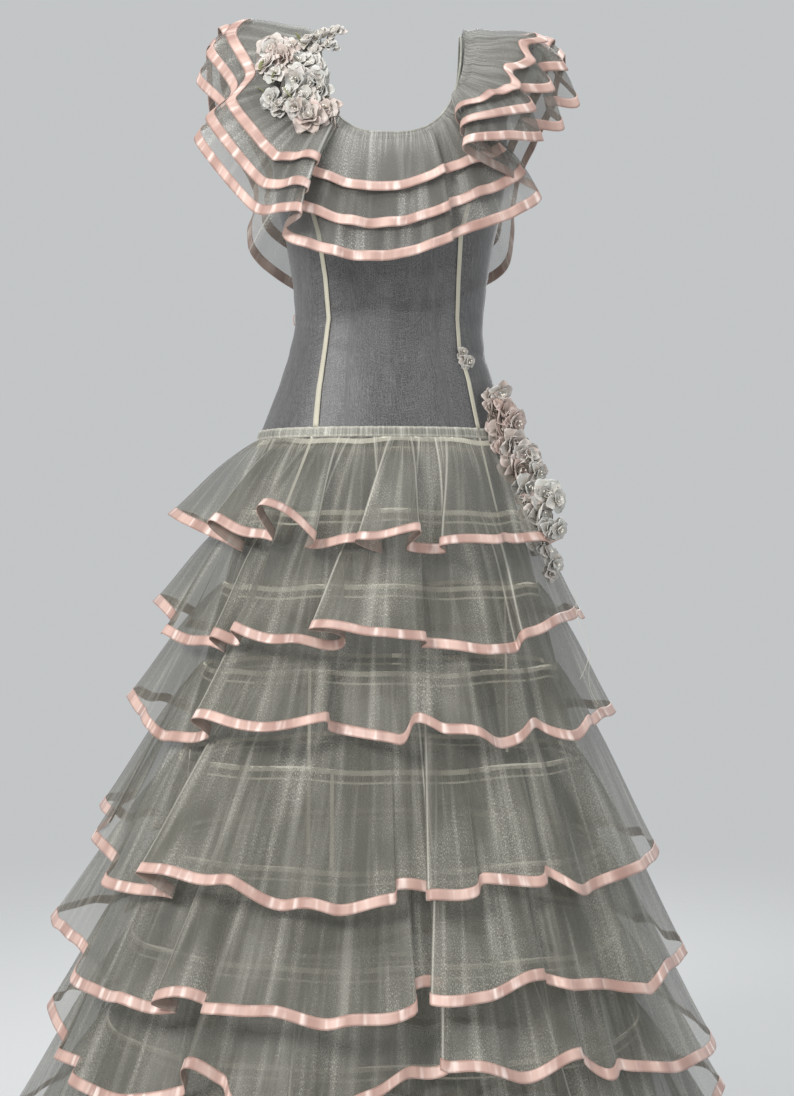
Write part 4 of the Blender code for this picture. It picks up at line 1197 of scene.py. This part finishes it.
for layer, (name, reach) in enumerate(reaches.items()):
    slope = hem - start + upward * (2 * reach - 3 * reach ** 2) + swell * (1 - 2 * reach)
    run = np.linalg.norm(slope, axis=1) * reach[:, 0]
    at = rows_down(run, COLLAR_ROWS, 1.3)[..., None] * reach
    grid = start + (hem - start) * at + (upward * at ** 2 + swell * at) * (1 - at)
    normal = outward(grid, True)
    for row in normal:
        for axis in (0, 1, 2):
            row[:, axis] = around(row[:, axis], 8)
    down = at[..., 0]
    ripple = waves(share, RIPPLES, layer + 60) * RIPPLE_HEIGHT
    fine = waves(share, NECK_GATHERS, layer + 80) * GATHER_HEIGHT
    push = LAYER_LIFT * layer * np.clip(down / 0.1, 0.35, 1)
    push = push + ripple * np.clip(down * 2.5, 0, 1) + fine * np.exp(-5 * down)
    grid = off_body(grid + unit(normal) * push[..., None], 0.0025 + 0.002 * layer)
    creases = to_creases(grid, collar_turns, np.arctan2(hem[:, 0], -hem[:, 1]))
    gathered(
        f"bertha_{name}", f"collar_{name}", grid, creases, collar_cloth,
        f"bertha_ribbon_{name}", f"collar_ribbon_{name}", "neck_binding",
    )

# Neck binding
# A narrow rolled edge of the same cloth, sewn round the neck over the gathered tops of the
# collar's three layers.
BINDING_RADIUS = 0.0014


def tube(points, radius, sides, closed):
    """A round cord of points as a grid, one row for each side."""
    along = unit(slopes(points, 0, closed))
    side = unit(np.cross(along, (0.31, 0.2, 0.93)))
    up = np.cross(along, side)
    turns = np.linspace(0, -2 * math.pi, sides + 1)
    return np.array([points + (side * math.cos(turn) + up * math.sin(turn)) * radius for turn in turns])


edge_cloth = organza("edge_organza", 0.72, (0.34, 0.34, 0.29, 1), (0.66, 0.66, 0.58, 1), folds=False)
edge_spots, edge_ways = neckline(np.linspace(-180, 180, 400, endpoint=False))
off_edge = unit(-np.cross(slopes(edge_spots, 0, True), edge_ways))
roll_line = edge_spots + off_edge * 0.0020 + edge_ways * 0.0008
binding = cloth("rolled_neck_edge", tube(roll_line, BINDING_RADIUS, 10, True), edge_cloth, True)
sew_in(binding, "tape", "neck_binding")

# Blossoms
# Cloth flowers of ivory and blush petals with crinkled edges, crowded into two sprays and one
# bud: stiffened petals wired round a small green or beaded middle, sewn on through the cloth.
PICTURE_WIDTH = 794
MILLIMETRES_A_PIXEL = 1.22
PETAL_STEPS = 7
PETAL_WALL = 0.0003
PETAL_SPREAD = 1.3
LOOSE_PETALS = 3
LEAF_EVERY = 3
BEAD_RADIUS = 0.0010
FACING_FORWARD = 0.7
# Each spray's flowers where the picture shows them: pixels across and down, radius in pixels,
# form, and how far it turns from ivory to blush.
SHOULDER_FLOWERS = [
    (306, 40, 9, "buds", 0.1), (319, 35, 10, "buds", 0.2), (334, 31, 8, "buds", 0.1),
    (314, 51, 8, "buds", 0.2), (329, 44, 8, "buds", 0.0), (271, 49, 13, "frilled", 0.5),
    (265, 61, 10, "frilled", 0.4), (281, 58, 11, "rose", 0.6), (288, 47, 9, "open", 0.4),
    (275, 71, 9, "open", 0.1), (298, 59, 12, "open", 0.0), (311, 64, 10, "frilled", 0.0),
    (317, 75, 9, "open", 0.0), (295, 80, 13, "frilled", 0.0), (311, 84, 13, "rose", 0.0),
    (287, 92, 10, "open", 0.0), (303, 95, 12, "frilled", 0.05), (320, 89, 9, "buds", 0.0),
    (270, 99, 10, "buds", 0.0), (279, 104, 8, "buds", 0.1), (308, 115, 13, "rose", 0.5),
    (324, 107, 11, "open", 0.45), (314, 126, 9, "open", 0.4), (295, 107, 9, "buds", 0.2),
    (329, 119, 9, "buds", 0.4),
]
HIP_FLOWERS = [
    (491, 397, 7, "open", 0.3), (502, 394, 9, "open", 0.4), (508, 415, 14, "rose", 0.8),
    (496, 409, 9, "frilled", 0.6), (517, 423, 11, "frilled", 0.7), (502, 430, 11, "open", 0.6),
    (516, 446, 13, "rose", 0.4), (526, 457, 12, "frilled", 0.2), (505, 448, 9, "open", 0.6),
    (521, 471, 14, "rose", 0.6), (534, 456, 9, "buds", 0.2), (540, 473, 9, "buds", 0.1),
    (530, 488, 12, "open", 0.1), (548, 494, 12, "frilled", 0.1), (529, 504, 10, "rose", 0.5),
    (543, 514, 13, "rose", 0.1), (559, 500, 9, "open", 0.0), (535, 529, 12, "open", 0.1),
    (551, 531, 10, "buds", 0.0), (541, 543, 10, "frilled", 0.1), (561, 530, 8, "open", 0.0),
    (550, 551, 9, "open", 0.1), (556, 564, 10, "buds", 0.0), (552, 573, 8, "buds", 0.1),
]
WAIST_FLOWERS = [(463, 352, 5, "buds", 0.2), (469, 361, 6, "buds", 0.1)]
# Each form's rings of petals, from the outside in: their count, distance out, rise in degrees,
# length and cup. Then the number of beads in its middle.
PETAL_RINGS = {
    "rose": ((5, 0.4, 8, 1.0, 0.3), (4, 0.22, 34, 0.85, 0.5), (3, 0.1, 64, 0.6, 0.7)),
    "frilled": ((6, 0.4, 4, 1.0, 0.1), (5, 0.26, 30, 0.8, 0.2), (3, 0.1, 58, 0.5, 0.4)),
    "open": ((5, 0.3, 2, 1.05, 0.2), (3, 0.16, 34, 0.7, 0.4)),
    "buds": ((4, 0.2, 14, 0.95, 0.6), (3, 0.1, 50, 0.75, 0.8)),
}
MIDDLE_BEADS = {"rose": 2, "frilled": 5, "open": 5, "buds": 2}
SHOULDER_NODES = (
    "shoulder_buds_top", "shoulder_frilled", "shoulder_petal_white", "shoulder_large_white",
    "shoulder_small_white", "shoulder_low_rose",
)
HIP_NODES = ("hip_first", "hip_second", "hip_third", "hip_fourth", "hip_fifth", "hip_last")

petal_cloth = Finish("petal_cloth", 0.75, 0.3, 0.3)
object_place = petal_cloth.node("TexCoord", {}, {}, "Object")
veins = petal_cloth.noise(object_place, (900, 900, 900), 3.0)
stains = petal_cloth.step(petal_cloth.noise(object_place, (90, 90, 90), 3.0), 0.45, 0.75)
petal_tint = petal_cloth.field("tint")
painted_root_shade = petal_cloth.field("root")
petal_colour = petal_cloth.blend(petal_tint, (0.61, 0.605, 0.575, 1), (0.63, 0.48, 0.43, 1))
petal_colour = petal_cloth.blend(stains * 0.4, petal_colour, (0.42, 0.37, 0.29, 1))
# Painted shade: each petal darkens towards its root, in the flower's hollow middle.
petal_colour = petal_cloth.blend(painted_root_shade * 0.6, petal_colour, (0.30, 0.26, 0.18, 1))
petal_cloth.feed("Base Color", petal_colour)
petal_cloth.bump(veins, 0.25, 0.0006)
leaf_cloth = Finish("leaf_cloth", 0.7, 0.3, 0.2)
leaf_place = leaf_cloth.node("TexCoord", {}, {}, "Object")
leaf_mix = leaf_cloth.noise(leaf_place, (260, 260, 260), 3.0)
leaf_cloth.feed("Base Color", leaf_cloth.blend(leaf_mix, (0.11, 0.125, 0.045, 1), (0.36, 0.36, 0.19, 1)))
leaf_cloth.bump(leaf_mix, 0.5, 0.001)
bead = Finish("bead_glass", 0.2, 0.7)
bead.feed("Base Color", (0.86, 0.82, 0.74, 1))


def petal(width, length, cup, chance):
    """One stiffened petal: narrow root, rounded tip, cupped, with a crinkled edge."""
    across = np.linspace(-1, 1, PETAL_STEPS)[None, :]
    along = np.linspace(0, 1, PETAL_STEPS)[:, None]
    half = width * (0.3 + 0.7 * np.sin(math.pi * np.clip(along * 0.8 + 0.06, 0, 1)) ** 0.7)
    half = half * np.where(along > 0.96, 0.8, 1.0)
    frill = np.sin(across * chance.uniform(3, 6) + chance.uniform(0, 6)) * along ** 2
    x = across * half
    y = along * length * (1 - 0.22 * across ** 2)
    z = cup * (across ** 2) * half * 0.9 + length * chance.uniform(-0.2, 0.1) * along ** 3
    z = z + frill * width * chance.uniform(0.05, 0.16)
    return np.stack([x + 0 * y, y, z], axis=-1)


def tinted(blush, chance):
    """One petal's own share of blush."""
    return min(1.0, max(0.0, chance.normal(blush, 0.18)))


def flower(kind, blush, size, chance):
    """A flower's rings of petals, each petal with its tint."""
    found = []
    for count, out, rise, reach, cup in PETAL_RINGS[kind]:
        for number in range(count):
            shape = petal(size * reach * 0.58, size * reach * 0.9, 0.25 + cup, chance)
            angle = 2 * math.pi * (number + chance.uniform(-0.25, 0.25)) / count + 3 * rise
            tilt = math.radians(rise + chance.uniform(-12, 14))
            turn = Matrix.Rotation(angle, 4, "Z") @ Matrix.Translation((0, out * size * 0.5, 0))
            turn = np.array(turn @ Matrix.Rotation(tilt, 4, "X"))
            found.append((shape @ turn[:3, :3].T + turn[:3, 3], tinted(blush, chance)))
    return found


def add_petals(name, petals, finish, slot, *nodes):
    """Petals as one piece, with a tint for each and a painted shade near its root."""
    count = PETAL_STEPS ** 2
    points = np.concatenate([shape.reshape(-1, 3) for shape, _ in petals])
    row, column = np.meshgrid(np.arange(PETAL_STEPS - 1), np.arange(PETAL_STEPS - 1), indexing="ij")
    corner = (row * PETAL_STEPS + column).reshape(-1)
    quad = np.stack([corner, corner + 1, corner + PETAL_STEPS + 1, corner + PETAL_STEPS], axis=-1)
    faces = np.concatenate([quad + at * count for at in range(len(petals))])
    # How near its root each point is, for the painted shade there.
    near = np.repeat(np.linspace(1, 0, PETAL_STEPS) ** 3, PETAL_STEPS)
    tints = np.repeat([shade for _, shade in petals], count)
    fields = {"tint": tints, "root": np.tile(near, len(petals))}
    sew_in(add_sheet(name, points, faces, finish, fields, PETAL_WALL), slot, *nodes)


def placed(petals, spot, facing, turn):
    """Petals moved from their own frame to a place on the gown."""
    rotation = np.array(facing.to_track_quat("Z", "Y").to_matrix() @ Matrix.Rotation(turn, 3, "Z"))
    return [(shape @ rotation.T + spot, shade) for shape, shade in petals]


# A round bead on every point.
BEADS = shape_tree(
    "beads",
    ("Radius",),
    {
        "points": ("GeometryNodeMeshToPoints", {}, {}),
        "ball": ("GeometryNodeMeshIcoSphere", {}, {"Subdivisions": 2}),
    },
    (
        ("given", "Geometry", "points", "Mesh"),
        ("given", "Radius", "ball", "Radius"),
        ("points", "Points", "placed", "Points"),
        ("ball", "Mesh", "placed", "Instance"),
    ),
)


def picture_spot(across, down, y):
    """The point at a depth that the camera sees at a place in the picture."""
    scale = (y - CAMERA_SPOT[1]) * PICTURE_REACH / (PICTURE_HEIGHT / 2)
    x = CAMERA_SPOT[0] + (across - PICTURE_WIDTH / 2) * scale
    return np.array((x, y, CAMERA_SPOT[2] - (down - PICTURE_HEIGHT / 2) * scale))


def sideways(facing, chance):
    """A way square to a flower's facing, turned by chance."""
    way = facing.orthogonal().normalized()
    way.rotate(Matrix.Rotation(chance.uniform(0, 2 * math.pi), 3, facing))
    return way


def build_spray(place_name, nodes, flowers, core, order):
    """One spray's flowers, leaves and beads, at the depth of the solids that they replace. The
    flowers face away from its core, which without a height of its own is level with each."""
    chance = np.random.default_rng(order)
    middles = np.array([np.mean(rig.box(node)[:2], axis=0) for node in nodes])
    petals = []
    leaves = []
    stamens = []
    for number, (across, down, wide, kind, blush) in enumerate(flowers):
        y = middles[:, 1].mean()
        for _ in range(3):
            spot = picture_spot(across, down, y)
            apart = np.hypot(middles[:, 0] - spot[0], middles[:, 2] - spot[2])
            nearness = 1 / (apart ** 2 + 1e-5)
            y = float((middles[:, 1] * nearness).sum() / nearness.sum())
        away = Vector(spot - (core[0], core[1], spot[2] if core[2] is None else core[2]))
        facing = (away.normalized() + Vector((0, -FACING_FORWARD, 0))).normalized()
        facing = (facing + Vector(chance.normal(0, 0.22, 3).tolist())).normalized()
        front = np.array(facing)
        size = wide * MILLIMETRES_A_PIXEL * 0.001 * PETAL_SPREAD
        seat = spot - front * size * 0.3
        bloom = flower(kind, blush, size, chance)
        petals += placed(bloom, seat, facing, chance.uniform(0, 6))
        for _ in range(MIDDLE_BEADS[kind]):
            stamens.append(seat + front * size * 0.5 + chance.normal(0, size * 0.09, 3))
        for _ in range(LOOSE_PETALS):
            way = sideways(facing, chance)
            loose = petal(size * 0.5, size * 0.8, 0.3, chance)
            flat = np.stack([way.cross(facing), way, facing], axis=-1)
            low = seat + np.array(way) * size * 0.35 - front * size * 0.2
            petals.append((loose @ flat.T + low, tinted(blush, chance)))
        if number % LEAF_EVERY == 0:
            aside = sideways(facing, chance)
            blade = petal(size * 0.24, size * 1.0, 0.5, chance)
            turn = (aside + facing * 0.5).normalized().cross(facing)
            leaves += placed([(blade, 0.0)], seat + np.array(aside) * size * 0.85, turn, 0.0)
    add_petals(f"{place_name}_petals", petals, petal_cloth, "ivory", *nodes)
    add_petals(f"{place_name}_leaves", leaves, leaf_cloth, "leaf")
    repeat_shape(f"{place_name}_beads", stamens, [], BEADS, {"Radius": BEAD_RADIUS}, bead, "ivory")


build_spray("shoulder", SHOULDER_NODES, SHOULDER_FLOWERS, (0.0, 0.02, -0.14), 11)
build_spray("hip", HIP_NODES, HIP_FLOWERS, (0.0, 0.0, None), 12)
build_spray("waist", ("waist_bud",), WAIST_FLOWERS, (0.0, 0.0, None), 13)

# Waist tab
# A short end of the satin ribbon, sewn down across the side seam at the viewer's left as the loop
# of a fastening. It stands off the net a little in its middle.
TAB_TOP = -0.335
TAB_HEIGHT = 0.013
TAB_TURN = math.radians(-80)
TAB_REACH = 0.032
TAB_LIFT = 0.0016
TAB_BOW = 0.0012
TAB_STEPS = 9

tab_turns = TAB_TURN + np.linspace(-TAB_REACH, TAB_REACH, TAB_STEPS)[None, :]
tab_heights = np.linspace(TAB_TOP, TAB_TOP - TAB_HEIGHT, TAB_STEPS)[:, None]
tab_grid = strip_on_ring(tab_turns, tab_heights, TAB_LIFT)
tab_bow = TAB_BOW * np.sin(np.linspace(0, math.pi, TAB_STEPS))
tab_grid += outward(tab_grid) * tab_bow[:, None, None]
tab_fields = {"from_edge": edge_distance(TAB_HEIGHT, TAB_STEPS)}
tab = cloth("waist_loop", tab_grid, satin, False, tab_fields, wall=0.0008)
sew_in(tab, "ribbon", "waist_tab")
sewn_on = {"bodice_front_centre": tapes, "bodice_side_front_left": [tab]}
for name, grid in panels.items():
    notions = sewn_on.get(name, [])
    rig.sheet(bodice[name], held="stretched", rests_on=["hip_band"], with_pieces=notions, **cut(grid))

# Loose threads
# Two frayed threads hang from the end of the hip spray, each swaying a little as it falls. Each
# row gives a thread's top and its end, in centimetres.
THREAD_ENDS = [(21.0, -9.6, -66.0, 24.0, -12.5, -79.0), (21.4, -9.2, -65.5, 22.0, -14.0, -76.0)]
thread_grids = []
for x0, y0, z0, x1, y1, z1 in THREAD_ENDS:
    at = np.linspace(0, 1, 40)[:, None]
    line = np.array((x0, y0, z0)) * (1 - at) + np.array((x1, y1, z1)) * at
    sway = np.concatenate([np.sin(at * 7 + x1), np.cos(at * 5 + z1), 0 * at], axis=1) * at * 0.9
    thread_grids.append(tube((line + sway) * CM, 0.00022, 5, False))
joined_cloth("loose_threads", thread_grids, thread, False)

gown_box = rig.bounds()
with open("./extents.json", "w") as size_file:
    json.dump({
        "cad": [list(corner) for corner in cad_box],
        "visual": [list(corner) for corner in gown_box],
    }, size_file)
